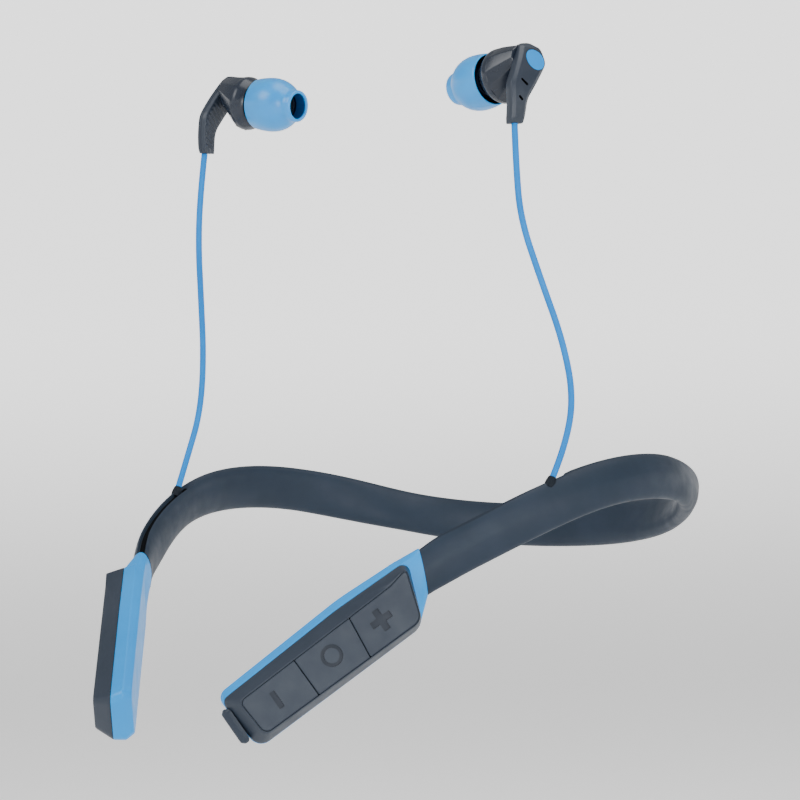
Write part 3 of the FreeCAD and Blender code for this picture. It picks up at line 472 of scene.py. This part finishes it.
def build_buttons(materials):
    """The three buttons, whose faces make one surface, each with a small sunk mark."""
    face = inset(FACE, WINDOW_INSET + BUTTON_GAP)
    low, high = GROOVES
    outlines = {
        "volume_up": clipped(face, low, BUTTON_GAP, False),
        "multifunction": clipped(clipped(face, low, BUTTON_GAP, True), high, BUTTON_GAP, False),
        "volume_down": clipped(face, high, BUTTON_GAP, True),
    }
    marks = {
        "volume_up": (plus_ring(15.3, -2.8, 2.6, 0.8), None),
        "multifunction": (circle_corners(28.7, -3.0, 2.5), circle_corners(28.7, -3.0, 1.7)),
        "volume_down": ([(x, rise, MARK_CORNER) for x, rise in (
            (43.4, -6.1), (44.7, -6.1), (44.7, -1.9), (43.4, -1.9))], None),
    }
    for word, outline in outlines.items():
        rings = [
            pod_ring(outline, FACE_HEIGHT - 1.2), pod_ring(outline, FACE_HEIGHT - 0.16),
            pod_ring(inset(outline, 0.04), FACE_HEIGHT - 0.05), pod_ring(inset(outline, 0.14), FACE_HEIGHT),
            pod_ring(inset(outline, 0.4), FACE_HEIGHT)]
        cap = lofted(
            f"{word}_cap", rings, [materials["button"]], 1, 50.0, cap_first=True, cap_last=True, flip=True)
        mark, hole = marks[word]
        carve(cap, mark_cutter(mark, materials, hole))
        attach(cap, word)
        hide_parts(f"{word}_button")


FLAP = [(0.8, -8.3, 1.2), (4.8, -8.3, 1.2), (4.8, 0.5, 1.2), (0.8, 0.5, 1.2)]
FLAP_START = 54.25
FLAP_END = 55.65


def build_port_cover(materials):
    """The flap over the charging port: a chamfered pad whose back follows the shell's slanted end."""
    run = FACE[2][0] - PARTING[2][0]
    climb = FACE_HEIGHT - PARTING_HEIGHT

    def ring(distance, x, follow):
        points = []
        for p in rounded(inset(FLAP, distance), 6):
            back = max(p.x - PARTING_HEIGHT, 0.0) * run / climb
            points.append(pod_point(x + follow * back, p.y, p.x))
        return points

    rings = [
        ring(0.3, FLAP_START, 1.0), ring(0.0, FLAP_START + 0.12, 1.0), ring(0.0, FLAP_START + 0.5, 0.6),
        ring(0.08, FLAP_START + 0.75, 0.4), ring(0.62, FLAP_END - 0.08, 0.15), ring(0.75, FLAP_END, 0.1),
        ring(1.3, FLAP_END - 0.02, 0.1), ring(1.4, FLAP_END - 0.2, 0.1)]
    flap = lofted("port_flap_skin", rings, [materials["button"]], 1, 45.0, cap_first=True, cap_last=True)
    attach(flap, "port_flap")
    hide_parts("port_cover")


TETHER_RISES = (-5.9, -1.9)
TETHER_THICKNESS = 0.4
# how far out along the pod the shell's end is at each height of the tether
TETHER_LINE = [
    (-0.7, 53.25), (-0.3, 53.5), (0.0, 53.72), (0.2, 53.86), (0.4, 54.02), (0.7, 54.24), (1.0, 54.27),
    (1.5, 54.27)]


def build_tether(materials):
    """The soft strip that hinges the flap to the pod."""
    near, far = TETHER_RISES
    rings = [
        [pod_point(x - 0.1, near, out), pod_point(x + TETHER_THICKNESS, near, out),
         pod_point(x + TETHER_THICKNESS, far, out), pod_point(x - 0.1, far, out)]
        for out, x in TETHER_LINE]
    tether = lofted(
        "port_flap_tether", rings, [materials["button"]], 1, 50.0, cap_first=True, cap_last=True)
    face_outwards(tether)
    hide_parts("port_cover")
    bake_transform(tether)


def build_pod_frame(side, body, materials):
    """The blue tray with its long facets, and the collar that narrows to the band."""
    name = "control_frame" if side > 0 else "battery_frame"
    rings = [
        pod_ring(inset(PARTING, 1.0), PARTING_HEIGHT - 0.5),
        pod_ring(inset(PARTING, 0.28), PARTING_HEIGHT - 0.03),
        pod_ring(inset(PARTING, 0.06), PARTING_HEIGHT - 0.06),
    ]
    for share in (0.08, 0.35, 0.65, 0.93):
        rings.append(between(PARTING, PARTING_HEIGHT, RIDGE, RIDGE_HEIGHT, share))
    for share in (0.1, 0.5, 0.9):
        rings.append(between(RIDGE, RIDGE_HEIGHT, INNER, INNER_HEIGHT, share))
    rings += [
        pod_ring(inset(INNER, 0.12), INNER_HEIGHT + 0.02),
        pod_ring(inset(INNER, 0.35), INNER_HEIGHT),
        pod_ring(inset(INNER, 2.5), INNER_HEIGHT),
    ]
    tray = lofted(f"{name}_tray", rings, [materials["blue"]], side, 22.0, cap_last=True)
    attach(tray, body)
    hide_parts(name)
    neck = build_neck(name, side, materials)
    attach(neck, body)
    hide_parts(name)


JOINT_SLANT = math.radians(23.4)
JOINT_SETBACK = 0.9
JOINT_CENTRE = POD_ORIGIN + POD_ALONG * JOINT_SETBACK
JOINT_WIDTH = POD_RISE * math.cos(JOINT_SLANT) - POD_ALONG * math.sin(JOINT_SLANT)
BAND_HALF_WIDTH = 5.3
BAND_HALF_THICKNESS = 2.4
NECK_STEPS = 8
NECK_CORNERS = [
    # angle round the band's section, degrees; then the matching corner at the shell's end (x, rise, out)
    (33, (5.2, 4.42, 3.5)), (147, (8.6, -9.0, 3.45)), (184, (8.4, -9.35, 0.75)), (214, (9.2, -7.9, -1.16)),
    (326, (6.6, 4.1, -1.16)), (356, (6.6, 5.6, 0.72))]


def build_neck(name, side, materials):
    """A faceted collar lofted from the band's lens-shaped section to the shell's end."""
    first = []
    last = []
    for index, (angle, corner) in enumerate(NECK_CORNERS):
        next_angle, next_corner = NECK_CORNERS[(index + 1) % len(NECK_CORNERS)]
        if next_angle < angle:
            next_angle += 360
        for step in range(NECK_STEPS):
            share = step / NECK_STEPS
            turn = math.radians(lerp(angle, next_angle, share))
            first.append(JOINT_CENTRE + JOINT_WIDTH * (BAND_HALF_WIDTH + 0.02) * math.cos(turn)
                         + POD_OUT * (BAND_HALF_THICKNESS + 0.02) * math.sin(turn))
            last.append(pod_point(*lerp(Vector(corner), Vector(next_corner), share)))
    lip = [lerp(JOINT_CENTRE, p, 0.9) + POD_ALONG * 0.02 for p in first]
    edge = [lerp(JOINT_CENTRE, p, 0.985) + POD_ALONG * 0.03 for p in first]
    walls = [[lerp(p, q, share) for p, q in zip(first, last)] for share in (0.04, 0.3, 0.6, 0.85, 1.0)]
    return lofted(f"{name}_neck", [lip, edge] + walls, [materials["blue"]], side, 24.0, flip=True)


# ---------------------------------------------------------------- the collar band

BAND_STATIONS = [
    # x, y, z from the nape to the control pod, and how far the upper edge leans inwards, degrees
    (0.0, 66.0, 0.0, -12.0), (41.5, 56.5, 3.6, -30.0), (61.0, 30.0, 10.7, 14.0), (62.4, 0.0, 9.2, 17.0),
    (51.5, -27.6, -2.1, -2.0)]
POD_END_LEAN = 4.0
JOINT_BLEND = 9.0
SPLINE_STEPS = 60
SECTION_STEP = 1.5


def solve_tridiagonal(lower, middle, upper, right):
    """Solves the spline's equations for its tangents."""
    count = len(middle)
    middle = list(middle)
    right = [r.copy() for r in right]
    for i in range(1, count):
        factor = lower[i] / middle[i - 1]
        middle[i] -= factor * upper[i - 1]
        right[i] -= right[i - 1] * factor
    values = [None] * count
    values[-1] = right[-1] / middle[-1]
    for i in range(count - 2, -1, -1):
        values[i] = (right[i] - values[i + 1] * upper[i]) / middle[i]
    return values


def spline(points, start, end):
    """A smooth curve through the points with its end directions set; returns points along it."""
    spans = [(b - a).length for a, b in zip(points, points[1:])]
    lower, middle, upper, right = [0.0], [1.0], [0.0], [start]
    for i in range(1, len(points) - 1):
        a, b = spans[i - 1], spans[i]
        lower.append(b)
        middle.append(2 * (a + b))
        upper.append(a)
        right.append(((points[i] - points[i - 1]) * (b / a) + (points[i + 1] - points[i]) * (a / b)) * 3)
    lower.append(0.0)
    middle.append(1.0)
    upper.append(0.0)
    right.append(end)
    tangents = solve_tridiagonal(lower, middle, upper, right)
    result = []
    for i, span in enumerate(spans):
        for step in range(SPLINE_STEPS + (i == len(spans) - 1)):
            s = step / SPLINE_STEPS
            result.append(
                points[i] * (2 * s ** 3 - 3 * s ** 2 + 1) + tangents[i] * span * (s ** 3 - 2 * s ** 2 + s)
                + points[i + 1] * (3 * s ** 2 - 2 * s ** 3) + tangents[i + 1] * span * (s ** 3 - s ** 2))
    return result


def band_sections():
    """Sections from nape to pod: (distance, whole length, centre, width direction, outward direction)."""
    points = [Vector(station[:3]) for station in BAND_STATIONS] + [JOINT_CENTRE]
    dense = spline(points, Vector((1, 0, 0)), POD_ALONG)
    reach = [0.0]
    for a, b in zip(dense, dense[1:]):
        reach.append(reach[-1] + (b - a).length)
    total = reach[-1]
    marks = [(reach[SPLINE_STEPS * i], station[3]) for i, station in enumerate(BAND_STATIONS)]
    marks.append((total, POD_END_LEAN))
    count = round(total / SECTION_STEP)
    sections = []
    for index in range(count + 1):
        distance = total * index / count
        beyond = next((i for i, r in enumerate(reach) if r >= distance), len(reach) - 1)
        place = min(max(beyond, 1), len(reach) - 1)
        share = (distance - reach[place - 1]) / (reach[place] - reach[place - 1])
        centre = lerp(dense[place - 1], dense[place], share)
        along = (dense[min(place + 1, len(dense) - 1)] - dense[max(place - 2, 0)]).normalized()
        level = (Vector((0, 0, 1)) - along * along.z).normalized()
        lean = 0.0
        for (near, lean_a), (far, lean_b) in zip(marks, marks[1:]):
            if near <= distance <= far + 1e-6:
                lean = math.radians(lerp(lean_a, lean_b, ease(near, far, distance)))
        width = level * math.cos(lean) + along.cross(level) * math.sin(lean)
        nearness = ease(total - JOINT_BLEND, total, distance)
        width = lerp(width, JOINT_WIDTH, nearness).normalized()
        out = lerp(width.cross(along).normalized(), POD_OUT, nearness).normalized()
        sections.append((distance, total, centre, width, out))
    return sections


SPRING_WIDTH = 3.6
SPRING_THICKNESS = 0.9
SPRING_OFFSET = -0.9
HARNESS_RADIUS = 0.65
HARNESS_OFFSET = 1.9
INNER_STOP = 2.5
CREASE_DEPTH = 0.16
CREASE_HALF_WIDTH = 1.5
# the cord's slot: how far from the pod it begins, and its depth, flat half width and half width at its lips
SLOT_START = 38.0
SLOT_DEPTH = 1.2
SLOT_FLAT = 0.62
SLOT_LIP = 1.0
# the slot's near-black faces, painted shade, cover the section up to the first angle and from the second
SLOT_SHADE_ANGLES = (9, 348)
BAND_ANGLES = [
    0, 3, 6, 9, 12, 16, 21, 28, 36, 46, 57, 68, 76, 82, 87, 90, 93, 98, 104, 112, 123, 134, 146, 158, 169,
    180, 191, 202, 214, 226, 240, 255, 270, 285, 300, 314, 324, 332, 339, 344, 348, 351, 354, 357]


def band_ring(distance, total, centre, width, out):
    """The band's section: a soft lens, a faint crease down its outer face and the cord's slot on top."""
    ring = []
    slot = ease(total - SLOT_START - 3.0, total - SLOT_START, distance)
    for angle in BAND_ANGLES:
        turn = math.radians(angle)
        across, through = math.cos(turn), math.sin(turn)
        u = BAND_HALF_WIDTH * math.copysign(abs(across) ** 0.86, across)
        v = BAND_HALF_THICKNESS * math.copysign(abs(through) ** 0.92, through)
        if through > 0:
            v -= CREASE_DEPTH * (1 - math.exp(-(u / CREASE_HALF_WIDTH) ** 2)) * abs(through)
        if across > 0.6:
            u -= slot * SLOT_DEPTH * (1 - ease(SLOT_FLAT, SLOT_LIP, abs(v)))
        ring.append(centre + width * u + out * v)
    return ring


def build_band(side, word, materials):
    """One half of the collar's sheath, from the nape to the pod."""
    sections = band_sections()
    rings = [band_ring(*section) for section in sections]
    end = [lerp(sections[-1][2], p, 0.9) + POD_ALONG * 0.02 for p in rings[-1]]
    rings.append(end)
    points = [mirrored(p, side) for ring in rings for p in ring]
    size = len(BAND_ANGLES)
    faces = loft_faces(len(rings), size, side < 0)
    slots = []
    first_dark = next(i for i, s in enumerate(sections) if s[0] > s[1] - SLOT_START - 1.0)
    for ring in range(len(rings) - 1):
        for step in range(size):
            angle = BAND_ANGLES[step]
            # faces in the slot from near its start take the near-black material, painted shade
            in_shade = angle <= SLOT_SHADE_ANGLES[0] or angle >= SLOT_SHADE_ANGLES[1]
            slots.append(1 if ring >= first_dark and in_shade else 0)
    band = make_object(
        f"{word}_band_skin", points, faces, [materials["collar"], materials["groove"]], 60.0, slots)
    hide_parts("collar_band")
    bend_with_arm(band)


def bend_with_arm(piece):
    """Bakes a piece of the collar's placement into its mesh; it does not bend it."""
    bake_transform(piece)


def build_inner(name, node, outline, side, material):
    """One half of something that runs inside the sheath, lofted from its outline across the band."""
    rings = [
        [centre + width * p.x + out * p.y for p in outline]
        for distance, total, centre, width, out in band_sections() if distance < total - INNER_STOP]
    piece = lofted(name, rings, [material], side, 50.0, cap_first=True, cap_last=True, flip=True)
    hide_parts(node)
    bend_with_arm(piece)


def build_spring_and_wires(side, word, materials):
    """The spring strip and the sleeve of wires in the sheath's channel."""
    low, high = SPRING_OFFSET - SPRING_WIDTH / 2, SPRING_OFFSET + SPRING_WIDTH / 2
    half = SPRING_THICKNESS / 2
    strip = rounded([(low, -half, 0.3), (high, -half, 0.3), (high, half, 0.3), (low, half, 0.3)], 3)
    build_inner(f"{word}_spring_strip", "spring_core", strip, side, materials["steel"])
    turns = [math.pi * i / 8 for i in range(16)]
    sleeve = [Vector((HARNESS_OFFSET + HARNESS_RADIUS * math.cos(turn), HARNESS_RADIUS * math.sin(turn)))
              for turn in turns]
    build_inner(f"{word}_wire_sleeve", "band_harness", sleeve, side, materials["chip"])


# ---------------------------------------------------------------- buds

BUD_ORIGIN = Vector((45.9, -2.4, 104.1))
PADDLE_ORIGIN = Vector((45.5, -4.7, 104.1))
BUD_TURN = Matrix.Rotation(math.radians(-5.0), 3, "Z") @ Matrix.Rotation(math.radians(-6.6), 3, "Y")
PADDLE_TURN = Matrix.Rotation(math.radians(-9.0), 3, "Z") @ Matrix.Rotation(math.radians(-6.6), 3, "Y")
PADDLE = [
    (1.6, 6.1, 1.0), (4.4, 6.4, 4.0), (7.2, 5.3, 2.0), (7.4, 1.2, 3.0), (0.1, -7.4, 6.0),
    (-1.0, -12.8, 0.6), (-4.9, -12.8, 0.6), (-4.4, -3.6, 5.0)]
PADDLE_ARC = [(2.0, 6.9), (4.8, -3.0), (3.9, -12.9)]
NECK_CENTRE = (1.5, -0.2, 2.6)
COVER_SKIN = 1.3
PLATE_BACK = 2.5
VENTS = [((-1.2, -2.9), (0.0, -4.0)), ((-2.5, -6.9), (-1.9, -7.5))]
INLAY_CENTRE = (4.1, 2.0)
INLAY_SEAT = (2.5, 2.75)
INLAY_SEAT_DEPTH = 0.08
CHAMFER = 0.9
CHAMFER_DEPTH = 0.45
VENT_HALF_WIDTH = 0.3
VENT_REACH = (-0.75, 0.6)
RIB_PITCH = 1.6
RIB_SLANT = 0.8
RIB_HEIGHT = 0.3
# the grid on each face of a slab, with its rows closer together near the two ends
SLAB_ROWS = 130
SLAB_COLUMNS = 44
SLAB_END = 0.06
NOSE_SEGMENTS = 72
TIP_SEGMENTS = 80
HOUSING_FACETS = 11


def bud_point(x, y, z):
    return BUD_ORIGIN + BUD_TURN @ Vector((x, y, z))


def paddle_point(x, y, z):
    return PADDLE_ORIGIN + PADDLE_TURN @ Vector((x, y, z))


def circle_through(points):
    """Centre and radius of the circle through three points."""
    (ax, ay), (bx, by), (cx, cy) = points
    d = 2 * (ax * (by - cy) + bx * (cy - ay) + cx * (ay - by))
    aa, bb, cc = ax ** 2 + ay ** 2, bx ** 2 + by ** 2, cx ** 2 + cy ** 2
    ux = (aa * (by - cy) + bb * (cy - ay) + cc * (ay - by)) / d
    uy = (aa * (cx - bx) + bb * (ax - cx) + cc * (bx - ax)) / d
    return ux, uy, math.hypot(ax - ux, ay - uy)


ARC_X, ARC_Z, ARC_RADIUS = circle_through(PADDLE_ARC)


def arc_x(z):
    """How far out the back cover's face is at a height."""
    return ARC_X + math.sqrt(ARC_RADIUS ** 2 - (z - ARC_Z) ** 2)


def segment_distance(point, a, b):
    a, b, point = Vector(a), Vector(b), Vector(point)
    along = b - a
    share = min(max((point - a).dot(along) / along.length_squared, 0.0), 1.0)
    return (point - a - along * share).length


def outline_distance(point, ring):
    return min(segment_distance(point, a, b) for a, b in zip(ring, ring[1:] + ring[:1]))


def row_limits(ring, z):
    """Where the outline crosses a height."""
    crossings = []
    for a, b in zip(ring, ring[1:] + ring[:1]):
        if (a.y - z) * (b.y - z) <= 0 and abs(a.y - b.y) > 1e-9:
            crossings.append(lerp(a.x, b.x, (z - a.y) / (b.y - a.y)))
    return min(crossings), max(crossings)


def edge_round(distance, radius):
    """How far a surface falls away near an edge with a rounded corner."""
    if distance >= radius:
        return 0.0
    return radius - math.sqrt(max(radius ** 2 - (radius - distance) ** 2, 0.0))


def slab(name, outline, outer_depth, inner_depth, materials, side, outer_detail, inner_detail):
    """A curved slab that follows the cover's profile, with its own detail on each of its two faces."""
    ring = rounded(outline, 10)
    low = min(p.y for p in ring) + 0.02
    high = max(p.y for p in ring) - 0.02
    rows, columns = SLAB_ROWS, SLAB_COLUMNS
    outer, inner = [], []
    for row in range(rows + 1):
        share = row / rows
        if share < SLAB_END or share > 1 - SLAB_END:
            share = 0.5 - 0.5 * math.cos(math.pi * share)
        z = lerp(low, high, share)
        left, right = row_limits(ring, z)
        for column in range(columns + 1):
            spread = 0.5 - 0.5 * math.cos(math.pi * column / columns)
            y = lerp(left, right, 0.5 * spread + 0.5 * column / columns)
            distance = outline_distance((y, z), ring)
            outer.append(paddle_point(arc_x(z) - outer_depth - outer_detail(y, z, distance), y, z))
            inner.append(paddle_point(arc_x(z) - inner_depth + inner_detail(y, z, distance), y, z))
    width = columns + 1
    count = len(outer)
    faces = []
    for row in range(rows):
        for column in range(columns):
            a = row * width + column
            quad = [a, a + 1, a + width + 1, a + width]
            back = [count + i for i in quad[::-1]]
            faces += [quad, back] if side > 0 else [quad[::-1], back[::-1]]
    border = list(range(width)) + [r * width + columns for r in range(1, rows + 1)]
    border += [rows * width + c for c in range(columns - 1, -1, -1)]
    border += [r * width for r in range(rows - 1, 0, -1)]
    for a, b in zip(border, border[1:] + border[:1]):
        wall = [b, a, count + a, count + b]
        faces.append(wall if side > 0 else wall[::-1])
    points = [mirrored(p, side) for p in outer + inner]
    return make_object(name, points, faces, materials, 45.0)


def vent_cutter(ends, side, materials):
    """A short slot with round ends that sinks into the cover."""
    first, last = Vector(ends[0]), Vector(ends[1])
    along = (last - first).normalized() * VENT_HALF_WIDTH
    across = Vector((-along.y, along.x))
    corners = [first - along + across, first - along - across, last + along - across, last + along + across]
    outline = rounded([(p.x, p.y, VENT_HALF_WIDTH * 0.95) for p in corners], 6)
    rings = [[paddle_point(arc_x(p.y) + x, p.x, p.y) for p in outline] for x in VENT_REACH]
    # the cutter's near-black material goes onto the vent walls as painted shade
    return lofted("vent_cutter", rings, [materials["groove"]], side, cap_first=True, cap_last=True)


def build_cover(side, word, arm, materials):
    """The back cover with its chamfer, its two vents and the seat for its inlay."""

    def outer(y, z, distance):
        fall = edge_round(distance, 0.2) + CHAMFER_DEPTH * max(1 - distance / CHAMFER, 0.0)
        from_inlay = math.hypot(y - INLAY_CENTRE[0], z - INLAY_CENTRE[1])
        return fall + INLAY_SEAT_DEPTH * (1 - ease(*INLAY_SEAT, from_inlay))

    cover = slab(f"{word}_cover_skin", PADDLE, 0.0, COVER_SKIN, [materials["cover"]], side, outer,
                 lambda y, z, distance: 0.0)
    for ends in VENTS:
        carve(cover, vent_cutter(ends, side, materials))
    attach(cover, arm)
    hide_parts(f"{word}_bud_cover")


def build_plate(side, word, materials):
    """The stem's inner half, with slanted grip ribs on its inner face."""

    def ribs(y, z, distance):
        wave = 0.5 + 0.5 * math.sin((z + RIB_SLANT * y) * 2 * math.pi / RIB_PITCH)
        inside = ease(0.5, 0.9, distance)
        below = (1 - ease(-1.5, 0.2, z)) * ease(-11.8, -11.2, z)
        return edge_round(distance, 0.25) - RIB_HEIGHT * wave ** 2 * inside * below

    return slab(f"{word}_stem_inner", inset(PADDLE, 0.05), COVER_SKIN + 0.04, PLATE_BACK,
                [materials["cover"]], side, lambda y, z, distance: 0.0, ribs)


def turned_ring(x, radius, count):
    turns = [2 * math.pi * i / count for i in range(count)]
    return [bud_point(x, radius * math.cos(turn), radius * math.sin(turn)) for turn in turns]


def build_housing(side, word, arm, materials):
    """Nozzle, flange and the faceted body that leans back to the stem."""
    profile = [
        (-17.4, 2.15), (-17.42, 2.6), (-17.3, 2.85), (-17.0, 2.9), (-8.15, 2.9), (-8.0, 3.05), (-8.0, 5.0),
        (-7.9, 5.2), (-7.2, 5.7), (-6.2, 6.22), (-5.9, 6.36), (-5.5, 6.4), (-4.9, 6.4), (-4.6, 6.33),
        (-4.5, 6.1)]
    nose = lofted(f"{word}_nozzle_and_flange", [turned_ring(x, r, NOSE_SEGMENTS) for x, r in profile],
                  [materials["bud"]], side, 35.0)
    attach(nose, arm)
    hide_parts(f"{word}_bud_housing")
    rings = []
    for share, extra in ((-0.02, 0.0), (0.0, 0.02), (0.3, 0.16), (0.62, 0.12), (0.97, 0.0), (1.0, -0.12)):
        x = lerp(-4.6, NECK_CENTRE[0], share)
        radius = lerp(6.25, 3.2, share) + extra
        corners = [
            (radius * 1.03 * math.cos(2 * math.pi * i / HOUSING_FACETS + 0.2),
             radius * 1.03 * math.sin(2 * math.pi * i / HOUSING_FACETS + 0.2), radius * 0.16)
            for i in range(HOUSING_FACETS)]
        rings.append([
            bud_point(x, p.x + NECK_CENTRE[1] * share, p.y + NECK_CENTRE[2] * share)
            for p in rounded(corners, 3)])
    body = lofted(f"{word}_housing_body", rings, [materials["bud"]], side, 20.0, cap_last=True)
    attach(body, arm)
    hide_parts(f"{word}_bud_housing")
    plate = build_plate(side, word, materials)
    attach(plate, arm)
    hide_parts(f"{word}_bud_housing", f"{word}_cord_anchor")


TIP_PROFILE = [
    (-17.7, 3.0), (-20.3, 3.0), (-20.7, 3.08), (-20.85, 3.35), (-20.75, 3.65), (-20.4, 3.8), (-19.6, 3.82),
    (-19.0, 3.85), (-18.6, 4.05), (-18.2, 4.45), (-17.6, 4.95), (-16.9, 5.42), (-16.0, 5.87), (-15.0, 6.2),
    (-13.9, 6.4), (-12.8, 6.45), (-11.6, 6.4), (-10.4, 6.28), (-9.4, 6.12), (-8.95, 6.02), (-8.82, 5.9),
    (-8.84, 5.76), (-9.0, 5.68), (-10.4, 5.85), (-12.2, 5.95), (-14.0, 5.85), (-15.4, 5.4), (-16.4, 4.8),
    (-17.0, 4.2), (-17.1, 3.85), (-16.6, 3.65), (-14.0, 3.6), (-10.6, 3.6), (-10.4, 3.45), (-10.4, 2.98)]

# the profile's first rows line the mouth, and its rows from the fold on line the skirt; both take darker
# copies of the tip's blue, painted shade inside the mouth and under the fold
TIP_MOUTH = 1
TIP_FOLD = 22


def build_tip(side, word, materials):
    """The soft ear tip: a rolled mouth, a bulb that folds back, and a tube on the nozzle."""
    points = [mirrored(p, side) for x, r in TIP_PROFILE for p in turned_ring(x, r, TIP_SEGMENTS)]
    faces = loft_faces(len(TIP_PROFILE), TIP_SEGMENTS, side < 0)
    slots = []
    for ring in range(len(TIP_PROFILE) - 1):
        inside = 1 if ring < TIP_MOUTH else 2 if ring >= TIP_FOLD else 0
        slots += [inside] * TIP_SEGMENTS
    parts = [materials[key] for key in ("tip", "tip_inside", "tip_skirt")]
    tip = make_object(f"{word}_tip_skin", points, faces, parts, 60.0, slots)
    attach(tip, f"{word}_tip")
    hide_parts(f"{word}_ear_tip")


# ---------------------------------------------------------------- cords

CORD_ROUTE = [
    (59.3, -10.4, 11.6), (60.0, -6.6, 18.4), (59.3, -2.3, 29.5), (57.0, -2.9, 42.5),
    (53.9, -6.4, 56.5), (51.2, -9.6, 70.0), (50.2, -9.5, 82.0), (49.3, -8.6, 91.7)]
CORD_DIAMETER = 0.0015


def build_cord(side, word, arm, materials):
    """The free cord, one smooth line from the band's gland to the bud's stem."""
    data = bpy.data.curves.new(f"{word}_cord_line", "CURVE")
    data.dimensions = "3D"
    data.bevel_depth = CORD_DIAMETER / 2
    data.bevel_resolution = 6
    data.resolution_u = 16
    data.use_fill_caps = True
    line = data.splines.new("NURBS")
    line.points.add(len(CORD_ROUTE) - 1)
    for point, place in zip(line.points, CORD_ROUTE):
        point.co = (*(mirrored(place, side) * MM), 1)
    line.order_u = 3
    line.use_endpoint_u = True
    data.materials.append(materials["cord"])
    cord = bpy.data.objects.new(f"{word}_cord_line", data)
    bpy.context.scene.collection.objects.link(cord)
    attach(cord, arm)
    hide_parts(f"{word}_cord")


# ---------------------------------------------------------------- stage, light and camera

CAMERA_PLACE = (0.7088, -0.7741, 0.0101)
CAMERA_RIGHT = (0.7390, 0.6732, -0.0259)
CAMERA_UP = (0.0324, 0.0029, 0.9995)
CAMERA_LENS = 201.6
SENSOR_WIDTH = 36.0
FLOOR_DROP = 0.06
FLOOR_RADIUS = 1.6
SWEEP_RADIUS = 1.2
SWEEP_STEP = 4.0
FLOOR_SEGMENTS = 96
# the floor's own light: its span of height about the floor's level, and its strength at each end
GLOW_SPAN = (-0.02, 0.25)
GLOW_STRENGTH = (0.25, 1.3)
SKY_STRENGTH = 0.5


def build_stage():
    """A pale floor well below the collar, swept up at its far edge into a bright wall, under a soft dome."""
    material, nodes, links, shader = new_material("floor_pale")
    shader.inputs["Roughness"].default_value = 0.9
    drift = noise(nodes, links, 3.0)
    links.new(ramp(nodes, links, drift, (0.92,) * 3, (0.94,) * 3), shader.inputs["Base Color"])
    level = CAD_BOX[0][2] - FLOOR_DROP
    height = nodes.new("ShaderNodeSeparateXYZ")
    links.new(nodes.new("ShaderNodeNewGeometry").outputs["Position"], height.inputs["Vector"])
    glow = nodes.new("ShaderNodeMapRange")
    glow.interpolation_type = "SMOOTHSTEP"
    glow.inputs["From Min"].default_value = level + GLOW_SPAN[0]
    glow.inputs["From Max"].default_value = level + GLOW_SPAN[1]
    glow.inputs["To Min"].default_value, glow.inputs["To Max"].default_value = GLOW_STRENGTH
    links.new(height.outputs["Z"], glow.inputs["Value"])
    links.new(glow.outputs["Result"], shader.inputs["Emission Strength"])
    shader.inputs["Emission Color"].default_value = (1, 1, 1, 1)
    profile = [(FLOOR_RADIUS / 2, 0.0), (FLOOR_RADIUS, 0.0)]
    profile += [
        (FLOOR_RADIUS + SWEEP_RADIUS * math.sin(turn), SWEEP_RADIUS - SWEEP_RADIUS * math.cos(turn))
        for turn in (math.radians(SWEEP_STEP * i) for i in range(1, 17))]
    turns = [2 * math.pi * i / FLOOR_SEGMENTS for i in range(FLOOR_SEGMENTS)]
    points = [
        (radius * math.cos(turn), radius * math.sin(turn), level + rise)
        for radius, rise in profile for turn in turns]
    mesh = bpy.data.meshes.new("floor")
    mesh.from_pydata(points, [], loft_faces(len(profile), FLOOR_SEGMENTS, True, cap_first=True))
    mesh.polygons.foreach_set("use_smooth", [True] * len(mesh.polygons))
    mesh.materials.append(material)
    floor = bpy.data.objects.new("floor", mesh)
    bpy.context.scene.collection.objects.link(floor)
    world = bpy.data.worlds.new("surroundings")
    world.use_nodes = True
    world.node_tree.nodes["Background"].inputs["Color"].default_value = (1, 1, 1, 1)
    world.node_tree.nodes["Background"].inputs["Strength"].default_value = SKY_STRENGTH
    bpy.context.scene.world = world


def area_light(name, place, target, size, power):
    data = bpy.data.lights.new(name, "AREA")
    data.shape = "RECTANGLE"
    data.size, data.size_y = size
    data.energy = power
    light = bpy.data.objects.new(name, data)
    light.location = place
    light.rotation_euler = (Vector(target) - Vector(place)).to_track_quat("-Z", "Y").to_euler()
    bpy.context.scene.collection.objects.link(light)


def build_lights():
    """Soft boxes: one high on the left, one overhead, one on the right and one level in front."""
    area_light("key", (-0.2, -0.9, 0.75), (0, 0, 0.02), (0.6, 0.6), 7.0)
    area_light("top", (0.25, 0.1, 0.9), (0, 0, 0), (0.7, 0.7), 5.0)
    area_light("side", (0.95, -0.1, 0.25), (0, 0, 0), (0.5, 0.7), 3.0)
    area_light("front", (0.72, -0.52, 0.1), (0.03, -0.05, 0.0), (0.25, 0.3), 2.2)


def build_camera():
    right, up = Vector(CAMERA_RIGHT).normalized(), Vector(CAMERA_UP)
    up = (up - right * up.dot(right)).normalized()
    back = right.cross(up)
    data = bpy.data.cameras.new("camera")
    data.lens = CAMERA_LENS
    data.sensor_width = SENSOR_WIDTH
    data.clip_start = 0.01
    camera = bpy.data.objects.new("camera", data)
    camera.matrix_world = Matrix((
        (right.x, up.x, back.x, CAMERA_PLACE[0]),
        (right.y, up.y, back.y, CAMERA_PLACE[1]),
        (right.z, up.z, back.z, CAMERA_PLACE[2]),
        (0, 0, 0, 1)))
    bpy.context.scene.collection.objects.link(camera)
    bpy.context.scene.camera = camera


def main():
    materials = make_materials()
    dress_cad(materials)
    for side, word, arm in SIDES:
        build_pod_shell(side, arm, materials)
        build_pod_frame(side, arm, materials)
        build_band(side, word, materials)
        build_spring_and_wires(side, word, materials)
        build_housing(side, word, arm, materials)
        build_cover(side, word, arm, materials)
        build_tip(side, word, materials)
        build_cord(side, word, arm, materials)
    build_buttons(materials)
    build_port_cover(materials)
    build_tether(materials)
    build_stage()
    build_lights()
    build_camera()


main()
